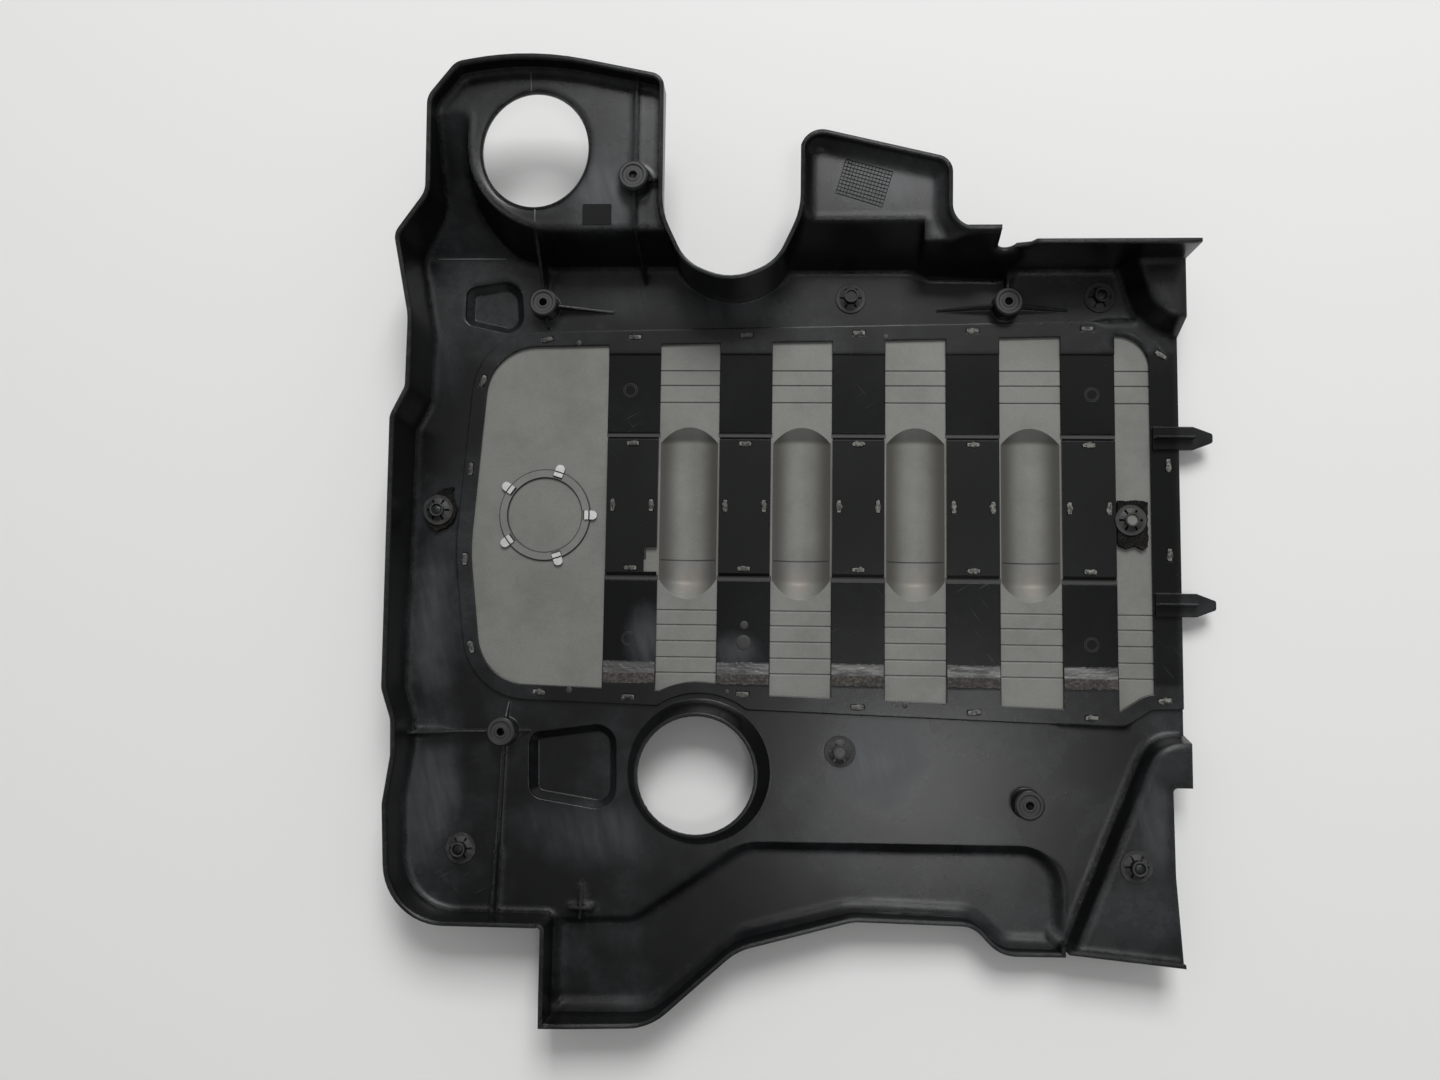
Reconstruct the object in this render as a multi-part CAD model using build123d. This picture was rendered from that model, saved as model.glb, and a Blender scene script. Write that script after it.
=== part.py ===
"""Engine cover, lying face down on its tubes and pads with its engine side up.

The black cover is one moulding: a deck with a skirt, two raised platforms, two raised shelves, a
sunk pocket, screw towers and a filler collar. A painted trim panel is staked into a recess
in the underside of the deck, and shows through windows between comb-like tongues. Black plates
close the gaps between the panel's tubes, a round plate is clinched to the panel by bent tabs, and
push-on star washers still sit on the studs that held the torn foam.
"""

import os
from math import atan, atan2, copysign, cos, degrees, hypot, sin, sqrt, tan

from build123d import *

# Walls and levels in millimetres; z = 0 is the surface that the cover lies on
WALL = 2.5
PANEL_WALL = 2.5
TUBE_DEPTH = 7.0
PLATFORM_RISE = 49.5
UPPER_SHELF_RISE = 25.0
LOWER_SHELF_RISE = 18.5
POCKET_DROP = 5.0
RIM_RISE = 50.5
RIM_SLOPE = 0.05
LEAST_RADIUS = 0.4
BEVEL_GROWTH = 2 - sqrt(2)
OVERSHOOT = 1.0
REACH = 400.0
HEADROOM = 20.0

DECK = TUBE_DEPTH + WALL
PANEL_BACK = TUBE_DEPTH + PANEL_WALL
STRIP = PANEL_BACK + WALL
PLATFORM = DECK + PLATFORM_RISE
UPPER_SHELF = DECK + UPPER_SHELF_RISE
LOWER_SHELF = DECK + LOWER_SHELF_RISE
POCKET = DECK - POCKET_DROP
PAD = WALL
TOP = DECK + RIM_RISE + HEADROOM

# Lean of the sloping walls, in millimetres outwards for each millimetre of height
PLATFORM_1_LEAN = 0.25
SLOPE_LEAN = 0.465
BAY_LEAN = 0.31
UPPER_SHELF_LEAN = 0.4
LOWER_SHELF_LEAN = 0.25
STEP_LEAN = 1.2

# Bevels at the foot of the walls that have one
PLATFORM_2_BEVEL = 7.0
POCKET_BEVEL = 6.0
PAD_BEVEL = 5.2

# Outlines on the engine side, anticlockwise from above: each corner is x, y and its radius
DECK_CORNERS = [
    (-247, 284, 7.6),
    (-247, 222.5, 18),
    (-267.4, 194.5, 9),
    (-257, 140, 50),
    (-258, 91.5, 12),
    (-267.9, 72, 9),
    (-269.5, -108, 10),
    (-263, -128, 15),
    (-262.5, -152, 15),
    (-267.5, -184, 20),
    (-264.5, -259.5, 38),
    (-161.5, -259.5, 5),
    (-161.5, -285, 0),
    (-100, -281, 0),
    (-35, -232, 0),
    (145, -230, 0),
    (172, -250, 0),
    (172, -270, 8),
    (292, -281, 0),
    (292, 187, 0),
    (152, 187, 8),
    (140, 179, 8),
    (92, 180, 8),
    (80, 186.5, 8),
    (-60, 186.5, 0),
    (-60, 215, 0),
    (-185, 215, 0),
    (-185, 284, 0),
]
PLATFORM_1_CORNERS = [
    (-247, 287, 12),
    (-247, 190, 0),
    (-92, 190, 0),
    (-92, 298.5, 8),
    (-180.5, 317.2, 200),
    (-229, 309, 10),
]
PLATFORM_2_CORNERS = [
    (3.4, 172, 0),
    (137, 172, 0),
    (137, 195.5, 0),
    (98.5, 195.5, 17),
    (98.5, 241, 9),
    (3.4, 263.5, 12),
]
POCKET_CORNERS = [
    (-161.5, -270, 9.5),
    (-161.5, -323.735, 0),
    (-92.7, -322.3, 36),
    (-36.9, -273.3, 40),
    (39.8, -253.4, 36),
    (119.4, -255.6, 20),
    (137, -274.2, 22),
    (176.4, -274.4, 0),
    (176.4, -213.9, 22),
    (-31.8, -215, 31),
    (-105, -265.5, 20),
]
POCKET_STEP_CORNERS = [
    (-155, -267.6, 0),
    (-155, -300, 0),
    (-100, -300, 0),
    (-30, -250, 0),
    (150, -245, 0),
    (155, -262, 0),
    (174.3, -262, 0),
    (174.3, -213.9, 22),
    (-31.8, -215, 31),
    (-105, -265.5, 20),
]
PAD_1_CORNERS = [
    (-235.8, 149, 7),
    (-192.5, 139, 12),
    (-196, 182, 14),
    (-235.5, 175, 7),
]
PAD_2_CORNERS = [
    (-180.7, -182, 10),
    (-120.3, -191.5, 14),
    (-121.5, -130, 14),
    (-181.8, -138.6, 8),
]

# Feet, at deck level, of the raised ground under the first platform and the two shelves
PLATFORM_1_FOOT = [(-237, 188.5, 72), (-40, 188.5, 0), (-40, REACH, 0), (-237, REACH, 0)]
UPPER_SHELF_FOOT = [(234, 143, 34), (330, 121.5, 0), (330, 260, 0), (199.8, 260, 0)]
LOWER_SHELF_FOOT = [(237, -133.5, 25), (163.6, -311.5, 0), (330, -311.5, 0), (330, -129.3, 0)]

# Sloping walls behind the second platform and the bay: plan of the space in front, foot, and lean
SLOPE_PLAN = [(-60, 165, 0), (84, 165, 0), (84, 240, 0), (-60, 240, 0)]
BAY_PLAN = [(75, 159, 0), (152, 159, 0), (152, 187, 0), (75, 224.7, 0)]
SLOPING_WALLS = [(SLOPE_PLAN, 183.5, SLOPE_LEAN), (BAY_PLAN, 177.5, BAY_LEAN)]

# The ramp in the valley beside the first platform
RAMP_START = 196.0
RAMP_END = 283.0
RAMP_SLOPE = PLATFORM_RISE / (RAMP_END - RAMP_START)
RAMP_RIGHT = 190.0

# The round notch between the platforms, open at the top of the outline
NOTCH_CORNERS = [
    (-90.1, 209, 50),
    (-74, 175, 30),
    (-44.3, 163, 38),
    (-14.6, 175, 30),
    (1.5, 209, 50),
    (1.5, REACH, 0),
    (-90.1, REACH, 0),
]

# Cuts at the edges: the open right-hand end, the shelf's side, and the lower rims
END = 261.0
SIDE_CUT = [
    (END, -166, 0),
    (248.3, -166, 3),
    (249, -223, 0),
    (254.5, -300, 0),
    (REACH, -300, 0),
    (REACH, -166, 0),
]
POCKET_RIM_RISE = 35.5
POCKET_RIM_FALL = 0.063
POCKET_RIM_END = -240.0
LIP_RISE = 5.0
LIP_END = -255.0

# The gap in the upper rim, seen from the front: x, height over the deck, and corner radius
RIM_GAP = [(133, 36.5, 5), (143, 36.5, 8), (156, 60.5, 4), (162, 100, 0), (133, 100, 0)]
GAP_START = 165.0
GAP_DEPTH = 60.0

# The oval opening in the first platform
OPENING_CENTRE = (-178.2, 256.1)
OPENING_RADII = (36.3, 40.0)

# The filler collar
COLLAR_CENTRE = (-64.3, -162.5)
COLLAR_FOOT_RADIUS = 49.0
COLLAR_BORE = 38.5
COLLAR_RISE = 29.0
COLLAR_MARGIN = 4.0

# The recess for the trim panel, the windows in it, and the bars between the windows
RECESS_CORNERS = [
    (-225.5, 141.8, 46),
    (-237, -12, 150),
    (-225, -114.5, 46),
    (222, -128, 5),
    (240, -116.3, 8),
    (300, -113.5, 0),
    (300, 152, 0),
]
STRIP_WIDTH = 10.5
END_STRIP_WIDTH = 19.0
WINDOW_CORNER = 22.0
PANEL_FIT = 0.4
PANEL_END_MARGIN = 1.5
PANEL_SLOT_WIDTH = 20.0
PANEL_SLOT_MARGIN = 11.0
BAR_COUNT = 5
BAR_PITCH = 78.4
BAR_WIDTH = 36.8
FIRST_BAR = -113.4
BARS = [FIRST_BAR + i * BAR_PITCH for i in range(BAR_COUNT)]
PLATE_LOW = -29.0
PLATE_HIGH = 68.0
TONGUE_GAP = 3.0
TONGUE_RELIEF = 1.3
TONGUE_ROOT_HIGH = 126.7
TONGUE_ROOT_LOW = -88.6
TONGUE_RAMP = 16.0

# The plates between the tubes
PLATE_WALL = 3.4
PLATE_MARGIN = 0.6
PLATE_EDGE = 2.0
PLATE_NOTCH = (9.0, 17.0)
PLATE_NOTCH_START = 2.5

# The panel's tubes and grooves
TUBE_HALF_WIDTH = 20.0
TUBE_HIGH = 66.0
TUBE_LOW = -33.6
TUBE_RISE_HIGH = 9.0
TUBE_RISE_LOW = 11.4
TUBE_END_RUN = 25.0
GROOVE_WIDTH = 1.4
GROOVE_DEPTH = 0.8
GROOVES = [115.0, 104.5, 92.4, -53.0, -63.2, -74.2, -85.4, -96.0]

# Stakes on the panel and the slots that they pass through
STAKE_LENGTH = 8.0
STAKE_WIDTH = 2.4
STAKE_RISE = 0.9
STAKE_MARGIN = 3.0
SLOT_CLEARANCE = 0.8
STRIP_STAKES = [
    (-176.3, 137.0, 8),
    (-221.1, 107.2, 68),
    (-227.8, 44.3, 86),
    (-230.0, -19.1, 93),
    (-223.7, -80.2, 110),
    (-175.2, -110.5, 172),
    (249.8, 126.3, 148),
    (253.5, 49.9, 90),
    (253.5, -11.6, 90),
    (248.6, -109.9, 10),
]
PLATE_STAKE_SIDE = 13.4
PLATE_STAKE_END = 5.0

# Screw towers: x, y and the floor that each one stands on
TOWERS = [
    (-109.5, 232.6, PLATFORM),
    (-177.4, 160.8, DECK),
    (144.9, 160.9, DECK),
    (-198.5, -137.4, DECK),
    (156.3, -179.7, DECK),
]
TOWER_RISE = 14.0
TOWER_RADIUS = 9.8
TOWER_BORE = 5.5

# Studs with push-on star washers: x, y and the floor that each one stands on
LEFT_FOAM_STUD = (-249.6, 15.0, DECK)
COVER_STUDS = [
    LEFT_FOAM_STUD,
    (37.6, 166.8, DECK),
    (209.5, 167.2, DECK),
    (-227.0, -217.6, DECK),
    (31.6, -147.5, DECK),
    (223.7, -217.0, LOWER_SHELF),
]
PANEL_STUD_GAP = 8.9
PANEL_STUD = (BARS[-1] + BAR_WIDTH / 2 + PANEL_STUD_GAP, 11.6)
STUD_RADIUS = 4.3
STUD_SIDES = 12
STUD_RISE = 8.0
WASHER_RADIUS = 10.6
WASHER_WALL = 1.2
WASHER_GRIP = 0.2
WASHER_SIDES = 20
WASHER_TEETH = 6

# Torn foam under two of the washers, as outlines around their studs
FOAM_WALL = 3.6
FOAM_BORE_GAP = 0.25
FOAM_TEAR_SIDES = 8
LEFT_FOAM = [
    (-9.6, 5),
    (-9.4, -6),
    (-6, -12),
    (-1, -14.7),
    (5, -12.5),
    (10.5, -8),
    (13, 1),
    (10, 8),
    (9, 13),
    (10, 16.4),
    (4, 15.6),
    (-5, 10.5),
]
RIGHT_FOAM = [
    (-8.6, 13.5),
    (-8.6, -17),
    (-3, -19.5),
    (3, -17.5),
    (8, -20),
    (11.6, -18),
    (11.6, 12.5),
    (4, 14),
    (-3, 13),
]

# The round plate on the front, and its seat on the back of the panel
DISC_CENTRE = (-174.8, 12.5)
DISC_RADIUS = 33.0
DISC_SIDES = 36
DISC_WALL = 2.0
SEAT_RADIUS = 31.7
SEAT_BORE = 26.4
SEAT_RISE = 1.6
TAB_COUNT = 5
TAB_WIDTH = 5.6
TAB_WALL = 0.8
TAB_RADIUS = 28.4
TAB_REACH = 34.5
TAB_CORNER = 1.8
TAB_CLEARANCE = 0.4

# Locating tongues at the open end
LOCATOR_ROWS = [67.9, -45.8]
LOCATOR_ROOT = 243.0
LOCATOR_TIP = 282.7
LOCATOR_WIDTH = 15.8
LOCATOR_TIP_WIDTH = 6.0
LOCATOR_TAPER = 13.0
LOCATOR_WALL = 3.0
LOCATOR_RIB_RISE = 3.0
LOCATOR_CORNER = 2.0

# Ribs: start, end, height at the start and at the end, and the floor
RIB_WALL = 1.7
RIBS = [
    ((-109.5, 240), (-109.5, 306), 3.0, 3.0, PLATFORM),
    ((-103, 232.6), (-93.5, 232.6), 6.0, 6.0, PLATFORM),
    ((-109.5, 226), (-109.2, 200), 9.0, 3.5, PLATFORM),
    ((-177.4, 168), (-177.4, 202), 12.0, 49.0, DECK),
    ((-170, 160), (-129, 157), 9.0, 0.8, DECK),
    ((-176.5, 153), (-175.5, 145), 8.0, 0.8, DECK),
    ((137, 160), (97.5, 158), 9.0, 0.8, DECK),
    ((152, 160), (187, 158), 9.0, 0.8, DECK),
    ((144.9, 168), (144.9, 181), 10.0, 14.0, DECK),
    ((-197.5, -130), (-196.5, -117), 8.0, 0.8, DECK),
    ((-206, -137.4), (-265, -139), 9.0, 14.0, DECK),
    ((-198.5, -145), (-201.5, -260), 9.0, 14.0, DECK),
    ((-191, -137.4), (-181.5, -137.4), 7.0, 0.8, DECK),
    ((-152, -255), (-134, -255), 5.0, 5.0, DECK),
    ((-143, -240), (-143, -262), 1.0, 6.0, DECK),
    ((-109.2, 201), (-106.7, 176.5), 53.0, 0.8, DECK),
]


def grown(corners, amounts):
    """Move each side of a closed outline outwards by its own amount and fit the corner radii."""
    count = len(corners)
    moved = []
    for i, (x, y, radius) in enumerate(corners):
        last_x, last_y, _ = corners[i - 1]
        next_x, next_y, _ = corners[(i + 1) % count]
        before = Vector(x - last_x, y - last_y).normalized()
        after = Vector(next_x - x, next_y - y).normalized()
        turn = before.X * after.Y - before.Y * after.X
        shift = (before * amounts[i] - after * amounts[i - 1]) / turn
        change = (amounts[i - 1] + amounts[i]) / 2 * copysign(1, turn)
        new_radius = max(radius + change, LEAST_RADIUS) if radius else 0
        moved.append((x + shift.X, y + shift.Y, new_radius))
    return moved


def ring(corners, z):
    """The closed outline of the corners at height z, with rounded corners."""
    points = [(x, y, z) for x, y, _ in corners]
    radii = [radius for _, _, radius in corners]
    return Wire(FilletPolyline(*points, radius=radii, close=True).edges())


def prism(corners, low, high):
    """An upright prism on an outline, from one height to another."""
    return Solid.extrude(Face(ring(corners, low)), Vector(0, 0, high - low))


def block(low, high):
    """A box between two opposite corners."""
    size = Vector(*high) - Vector(*low)
    return Pos(*low) * Solid.make_box(size.X, size.Y, size.Z)


def cone(centre, low, low_radius, high, high_radius):
    """An upright cone or cylinder between two heights."""
    foot = Plane(origin=(*centre, low))
    if low_radius == high_radius:
        return Solid.make_cylinder(low_radius, high - low, foot)
    return Solid.make_cone(low_radius, high_radius, high - low, foot)


def many_sided(centre, low, high, radius, sides):
    """An upright bar with many flat sides around a circle."""
    section = Pos(*centre, low) * RegularPolygon(radius, sides, major_radius=False).face()
    return Solid.extrude(section, Vector(0, 0, high - low))


def upright(corners, floor, skin, bevel=0.0, top=TOP):
    """A space with upright walls and perhaps a bevelled foot, with every face moved outwards by a skin."""
    outline = grown(corners, [skin] * len(corners))
    space = prism(outline, floor - skin, top)
    if not bevel:
        return space
    foot = space.faces().sort_by(Axis.Z)[0].edges()
    return chamfer(foot, bevel + skin * BEVEL_GROWTH)


def flared(corners, floor, skin, lean, top):
    """A space whose walls all lean outwards, with every face moved outwards by a skin."""
    outline = grown(corners, [skin * (hypot(1, lean) - lean)] * len(corners))
    base = Face(ring(outline, floor - skin))
    return Solid.extrude_taper(base, Vector(0, 0, top - floor + skin), -degrees(atan(lean)))


def raised(foot, top, skin, lean):
    """The ground under a raised floor, with sides that lean inwards, lowered by a skin."""
    base = DECK - WALL - OVERSHOOT
    outline = grown(foot, [lean * (DECK - base) - skin * hypot(1, lean)] * len(foot))
    height = top - skin - base
    return Solid.extrude_taper(Face(ring(outline, base)), Vector(0, 0, height), degrees(atan(lean)))


def sloping_wall(plan, foot, lean, skin):
    """The space in front of a wall that slopes away from the deck, within a plan."""
    shift = skin * hypot(1, lean)
    profile = [
        (-REACH, -REACH, DECK - skin),
        (-REACH, foot + shift - lean * skin, DECK - skin),
        (-REACH, foot + shift + lean * (TOP - DECK), TOP),
        (-REACH, -REACH, TOP),
    ]
    front = Solid.extrude(Face(Wire.make_polygon(profile)), Vector(2 * REACH, 0, 0))
    return prism(grown(plan, [skin] * len(plan)), DECK - skin, TOP) & front


def ramp(skin):
    """The ground under the ramp that climbs the valley beside the first platform."""
    drop = skin * hypot(1, RAMP_SLOPE)
    base = DECK - WALL - OVERSHOOT - drop
    profile = [
        (-REACH, RAMP_START, base),
        (-REACH, REACH, base),
        (-REACH, REACH, DECK + RAMP_SLOPE * (REACH - RAMP_START) - drop),
        (-REACH, RAMP_START, DECK - drop),
    ]
    return Solid.extrude(Face(Wire.make_polygon(profile)), Vector(REACH - RAMP_RIGHT, 0, 0))


def engine_space(skin):
    """The whole space on the engine side, with its faces moved outwards by a skin."""
    deck = upright(DECK_CORNERS, DECK, skin).cut(
        ramp(skin),
        raised(PLATFORM_1_FOOT, PLATFORM, skin, PLATFORM_1_LEAN),
        raised(UPPER_SHELF_FOOT, UPPER_SHELF, skin, UPPER_SHELF_LEAN),
        raised(LOWER_SHELF_FOOT, LOWER_SHELF, skin, LOWER_SHELF_LEAN),
    )
    step_top = DECK + OVERSHOOT
    others = [
        upright(PLATFORM_1_CORNERS, PLATFORM, skin),
        upright(PLATFORM_2_CORNERS, PLATFORM, skin, PLATFORM_2_BEVEL),
        upright(POCKET_CORNERS, POCKET, skin, POCKET_BEVEL),
        flared(POCKET_STEP_CORNERS, POCKET, skin, STEP_LEAN, step_top),
        upright(PAD_1_CORNERS, PAD, skin, PAD_BEVEL, step_top),
        upright(PAD_2_CORNERS, PAD, skin, PAD_BEVEL, step_top),
    ]
    others += [sloping_wall(*wall, skin) for wall in SLOPING_WALLS]
    space = deck.fuse(*others)
    notch = grown(NOTCH_CORNERS, [WALL - skin] * len(NOTCH_CORNERS))
    recess = grown(RECESS_CORNERS, [-skin] * len(RECESS_CORNERS))
    strip = prism(recess, -OVERSHOOT, STRIP - skin) - collar_clearance(COLLAR_MARGIN + skin, STRIP)
    return space.cut(prism(notch, -OVERSHOOT, TOP + OVERSHOOT), strip)


def collar_clearance(margin, high):
    """The cylinder around the collar that the recess keeps clear of."""
    radius = COLLAR_FOOT_RADIUS + margin
    return cone(COLLAR_CENTRE, -2 * OVERSHOOT, radius, high + OVERSHOOT, radius)


def rim_cuts():
    """What is cut away above the rim, at the open end, and along the lower edges."""
    plane = Plane(origin=(0, 0, DECK + RIM_RISE), x_dir=(1, 0, 0), z_dir=(0, -RIM_SLOPE, 1))
    above = plane * block((-REACH, -REACH, 0), (REACH, REACH, REACH))
    left = min(x for x, _, _ in POCKET_CORNERS) - 2 * WALL
    right = max(x for x, _, _ in POCKET_CORNERS) + WALL
    high = TOP + OVERSHOOT
    profile = [
        (left, -REACH, DECK + POCKET_RIM_RISE),
        (right, -REACH, DECK + POCKET_RIM_RISE - POCKET_RIM_FALL * (right - left)),
        (right, -REACH, high),
        (left, -REACH, high),
    ]
    pocket_rim = Solid.extrude(Face(Wire.make_polygon(profile)), Vector(0, REACH + POCKET_RIM_END, 0))
    lip = block((right - OVERSHOOT, -REACH, LOWER_SHELF + LIP_RISE), (REACH, LIP_END, high))
    gap_plane = Plane(origin=(0, GAP_START, DECK), x_dir=(1, 0, 0), z_dir=(0, -1, 0))
    gap = Solid.extrude(gap_plane * Face(ring(RIM_GAP, 0)), Vector(0, GAP_DEPTH, 0))
    end = block((END, -REACH, -REACH), (REACH, REACH, high))
    side = prism(SIDE_CUT, -REACH, high)
    return [above, pocket_rim, lip, end, side, gap]


def recess_outline(inset, end):
    """The recess's outline moved inwards by an inset, with its open side at a given x."""
    across = [x for x, _, _ in RECESS_CORNERS]
    amounts = [-inset] * len(across)
    amounts[across.index(max(across))] = end - max(across)
    return grown(RECESS_CORNERS, amounts)


def window_corners():
    """The outline around all the windows, a strip's width inside the recess."""
    corners = recess_outline(STRIP_WIDTH, END - END_STRIP_WIDTH)
    corners[-1] = (*corners[-1][:2], WINDOW_CORNER)
    return corners


def windows():
    """What is cut out of the recess: one window around the tongues, and the relief on the tongues."""
    low, high = PANEL_BACK - OVERSHOOT, STRIP + OVERSHOOT
    opening = prism(window_corners(), low, high)
    opening -= collar_clearance(COLLAR_MARGIN + STRIP_WIDTH - WALL, high)
    cuts = []
    for bar in BARS:
        left, right = bar - BAR_WIDTH / 2, bar + BAR_WIDTH / 2
        opening -= block((left, PLATE_HIGH + TONGUE_GAP, low), (right, REACH, high))
        opening -= block((left, -REACH, low), (right, PLATE_LOW - TONGUE_GAP, high))
        relief = STRIP - TONGUE_RELIEF
        side = left - OVERSHOOT
        cuts.append(block((side, PLATE_HIGH, relief), (right + OVERSHOOT, TONGUE_ROOT_HIGH, high)))
        ramp_profile = [
            (side, PLATE_LOW, relief),
            (side, TONGUE_ROOT_LOW, relief),
            (side, TONGUE_ROOT_LOW - TONGUE_RAMP, STRIP),
            (side, TONGUE_ROOT_LOW - TONGUE_RAMP, high),
            (side, PLATE_LOW, high),
        ]
        across = Vector(BAR_WIDTH + 2 * OVERSHOOT, 0, 0)
        cuts.append(Solid.extrude(Face(Wire.make_polygon(ramp_profile)), across))
    return [opening, *cuts]


def recess_edge(x, first, second):
    """The y of the recess's straight side between two of its corners at x."""
    x0, y0, _ = RECESS_CORNERS[first]
    x1, y1, _ = RECESS_CORNERS[second]
    return y0 + (y1 - y0) * (x - x0) / (x1 - x0)


def strip_stakes():
    """Every stake place on the strip, as x, y and angle: two rows over the bars, and the corners."""
    places = list(STRIP_STAKES)
    for bar in BARS:
        places.append((bar, recess_edge(bar, 6, 0) - STRIP_WIDTH / 2, 0))
        low = recess_edge(bar, 2, 3) + STRIP_WIDTH / 2
        places.append((bar, max(low, collar_edge(bar) + STAKE_MARGIN), 0))
    return places


def collar_edge(x):
    """The y of the top of the recess's wall around the collar, over one stake's length at x."""
    radius = COLLAR_FOOT_RADIUS + COLLAR_MARGIN + WALL + PANEL_FIT
    across = max(abs(x - COLLAR_CENTRE[0]) - STAKE_LENGTH / 2, 0.0)
    return COLLAR_CENTRE[1] + sqrt(max(radius**2 - across**2, 0.0))


def plate_stakes(bar):
    """The four stake places on a plate, as x, y and angle."""
    middle = (PLATE_LOW + PLATE_HIGH) / 2
    return [
        (bar, PLATE_HIGH - PLATE_STAKE_END, 0),
        (bar, PLATE_LOW + PLATE_STAKE_END, 0),
        (bar - PLATE_STAKE_SIDE, middle, 90),
        (bar + PLATE_STAKE_SIDE, middle, 90),
    ]


def bar_at(place, length, width, low, high):
    """An upright rectangular bar at a place given as x, y and angle."""
    x, y, angle = place
    solid = Pos(-length / 2, -width / 2, low) * Solid.make_box(length, width, high - low)
    return Pos(x, y, 0) * Rot(0, 0, angle) * solid


def stake_slot(place, low, high):
    """The slot around a stake."""
    return bar_at(place, STAKE_LENGTH + SLOT_CLEARANCE, STAKE_WIDTH + SLOT_CLEARANCE, low, high)


def tower(x, y, floor):
    """A screw tower: its outside, and the bore that is cut through it."""
    top = floor + TOWER_RISE
    outside = cone((x, y), floor - WALL / 2, TOWER_RADIUS, top, TOWER_RADIUS)
    bore = cone((x, y), floor - WALL - OVERSHOOT, TOWER_BORE / 2, top + OVERSHOOT, TOWER_BORE / 2)
    return outside, bore


def stud(x, y, floor):
    """A stud for a push-on washer."""
    return many_sided((x, y), floor - WALL / 2, floor + STUD_RISE, STUD_RADIUS, STUD_SIDES)


def rib(start, end, start_rise, end_rise, floor):
    """An upright rib between two points whose top runs from one height to another."""
    along = Vector(end[0] - start[0], end[1] - start[1])
    plane = Plane(origin=(*start, floor), x_dir=along, z_dir=(along.Y, -along.X, 0))
    profile = [(0, -WALL), (along.length, -WALL), (along.length, end_rise), (0, start_rise)]
    face = plane * Face(Wire.make_polygon([(a, b, 0) for a, b in profile]))
    side = plane.z_dir
    return Solid.extrude(face.moved(Location(side * (-RIB_WALL / 2))), side * RIB_WALL)


def locator(row):
    """A locating tongue with a rib along its middle."""
    half, tip_half = LOCATOR_WIDTH / 2, LOCATOR_TIP_WIDTH / 2
    neck = LOCATOR_TIP - LOCATOR_TAPER
    corners = [
        (LOCATOR_ROOT, row - half, 0),
        (neck, row - half, 0),
        (LOCATOR_TIP, row - tip_half, LOCATOR_CORNER),
        (LOCATOR_TIP, row + tip_half, LOCATOR_CORNER),
        (neck, row + half, 0),
        (LOCATOR_ROOT, row + half, 0),
    ]
    blade = prism(corners, STRIP - WALL / 2, STRIP + LOCATOR_WALL)
    spine_top = LOCATOR_WALL + LOCATOR_RIB_RISE
    spine = rib((LOCATOR_ROOT, row), (neck, row), spine_top, spine_top, STRIP + LOCATOR_WALL)
    return blade.fuse(spine)


def collar():
    """The filler collar: its outside, and what is cut out of it."""
    top = DECK + COLLAR_RISE
    outside = cone(COLLAR_CENTRE, DECK - WALL / 2, COLLAR_FOOT_RADIUS, top, COLLAR_BORE + WALL)
    bottom_bore = COLLAR_FOOT_RADIUS - WALL
    lean = (bottom_bore - COLLAR_BORE) / (COLLAR_RISE + WALL)
    over = OVERSHOOT * lean
    bottom = DECK - WALL - OVERSHOOT
    inside = cone(COLLAR_CENTRE, bottom, bottom_bore + over, top + OVERSHOOT, COLLAR_BORE - over)
    return outside, inside


def main_cover():
    """The black moulding."""
    shell = (engine_space(WALL) - engine_space(0.0)).cut(*rim_cuts())
    ribs = [rib(*data) for data in RIBS]
    ribs = ribs[0].fuse(*ribs[1:]) & engine_space(WALL / 2)
    additions, cuts = [*ribs.solids()], windows()
    for x, y, floor in TOWERS:
        outside, inside = tower(x, y, floor)
        additions.append(outside)
        cuts.append(inside)
    outside, inside = collar()
    additions.append(outside)
    cuts.append(inside)
    additions += [stud(*place) for place in COVER_STUDS]
    additions += [locator(row) for row in LOCATOR_ROWS]
    cuts += [stake_slot(place, PANEL_BACK - OVERSHOOT, STRIP + OVERSHOOT) for place in strip_stakes()]
    opening = Pos(*OPENING_CENTRE, PLATFORM - 2 * WALL) * Ellipse(*OPENING_RADII).face()
    cuts.append(Solid.extrude(opening, Vector(0, 0, 3 * WALL)))
    return shell.fuse(*additions).cut(*cuts)


def tube(x, skin):
    """A round bar whose underside gives one of the panel's tubes, with both ends rising."""
    radius = (TUBE_HALF_WIDTH**2 + TUBE_DEPTH**2) / (2 * TUBE_DEPTH)
    axis = PANEL_BACK - TUBE_DEPTH + radius
    low_angle = atan2(TUBE_DEPTH, TUBE_RISE_LOW)
    high_angle = atan2(TUBE_DEPTH, TUBE_RISE_HIGH)
    low_bend = TUBE_LOW + radius * tan(low_angle / 2)
    high_bend = TUBE_HIGH - radius * tan(high_angle / 2)
    path = Polyline(
        (x, low_bend - TUBE_END_RUN * cos(low_angle), axis + TUBE_END_RUN * sin(low_angle)),
        (x, low_bend, axis),
        (x, high_bend, axis),
        (x, high_bend + TUBE_END_RUN * cos(high_angle), axis + TUBE_END_RUN * sin(high_angle)),
    )
    start = Plane(origin=path @ 0, z_dir=path % 0)
    return sweep(start * Circle(radius + skin), path=path, transition=Transition.RIGHT).solid()


def disc_tabs(clearance, low, high):
    """The upright parts of the disc's tabs, or the slots for them."""
    length = TAB_WALL + 2 * clearance
    bars = []
    for i in range(TAB_COUNT):
        turn = Pos(*DISC_CENTRE) * Rot(0, 0, i * 360 / TAB_COUNT)
        place = (TAB_RADIUS + TAB_WALL / 2, 0, 0)
        bars.append(turn * bar_at(place, length, TAB_WIDTH + 2 * clearance, low, high))
    return bars


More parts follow.
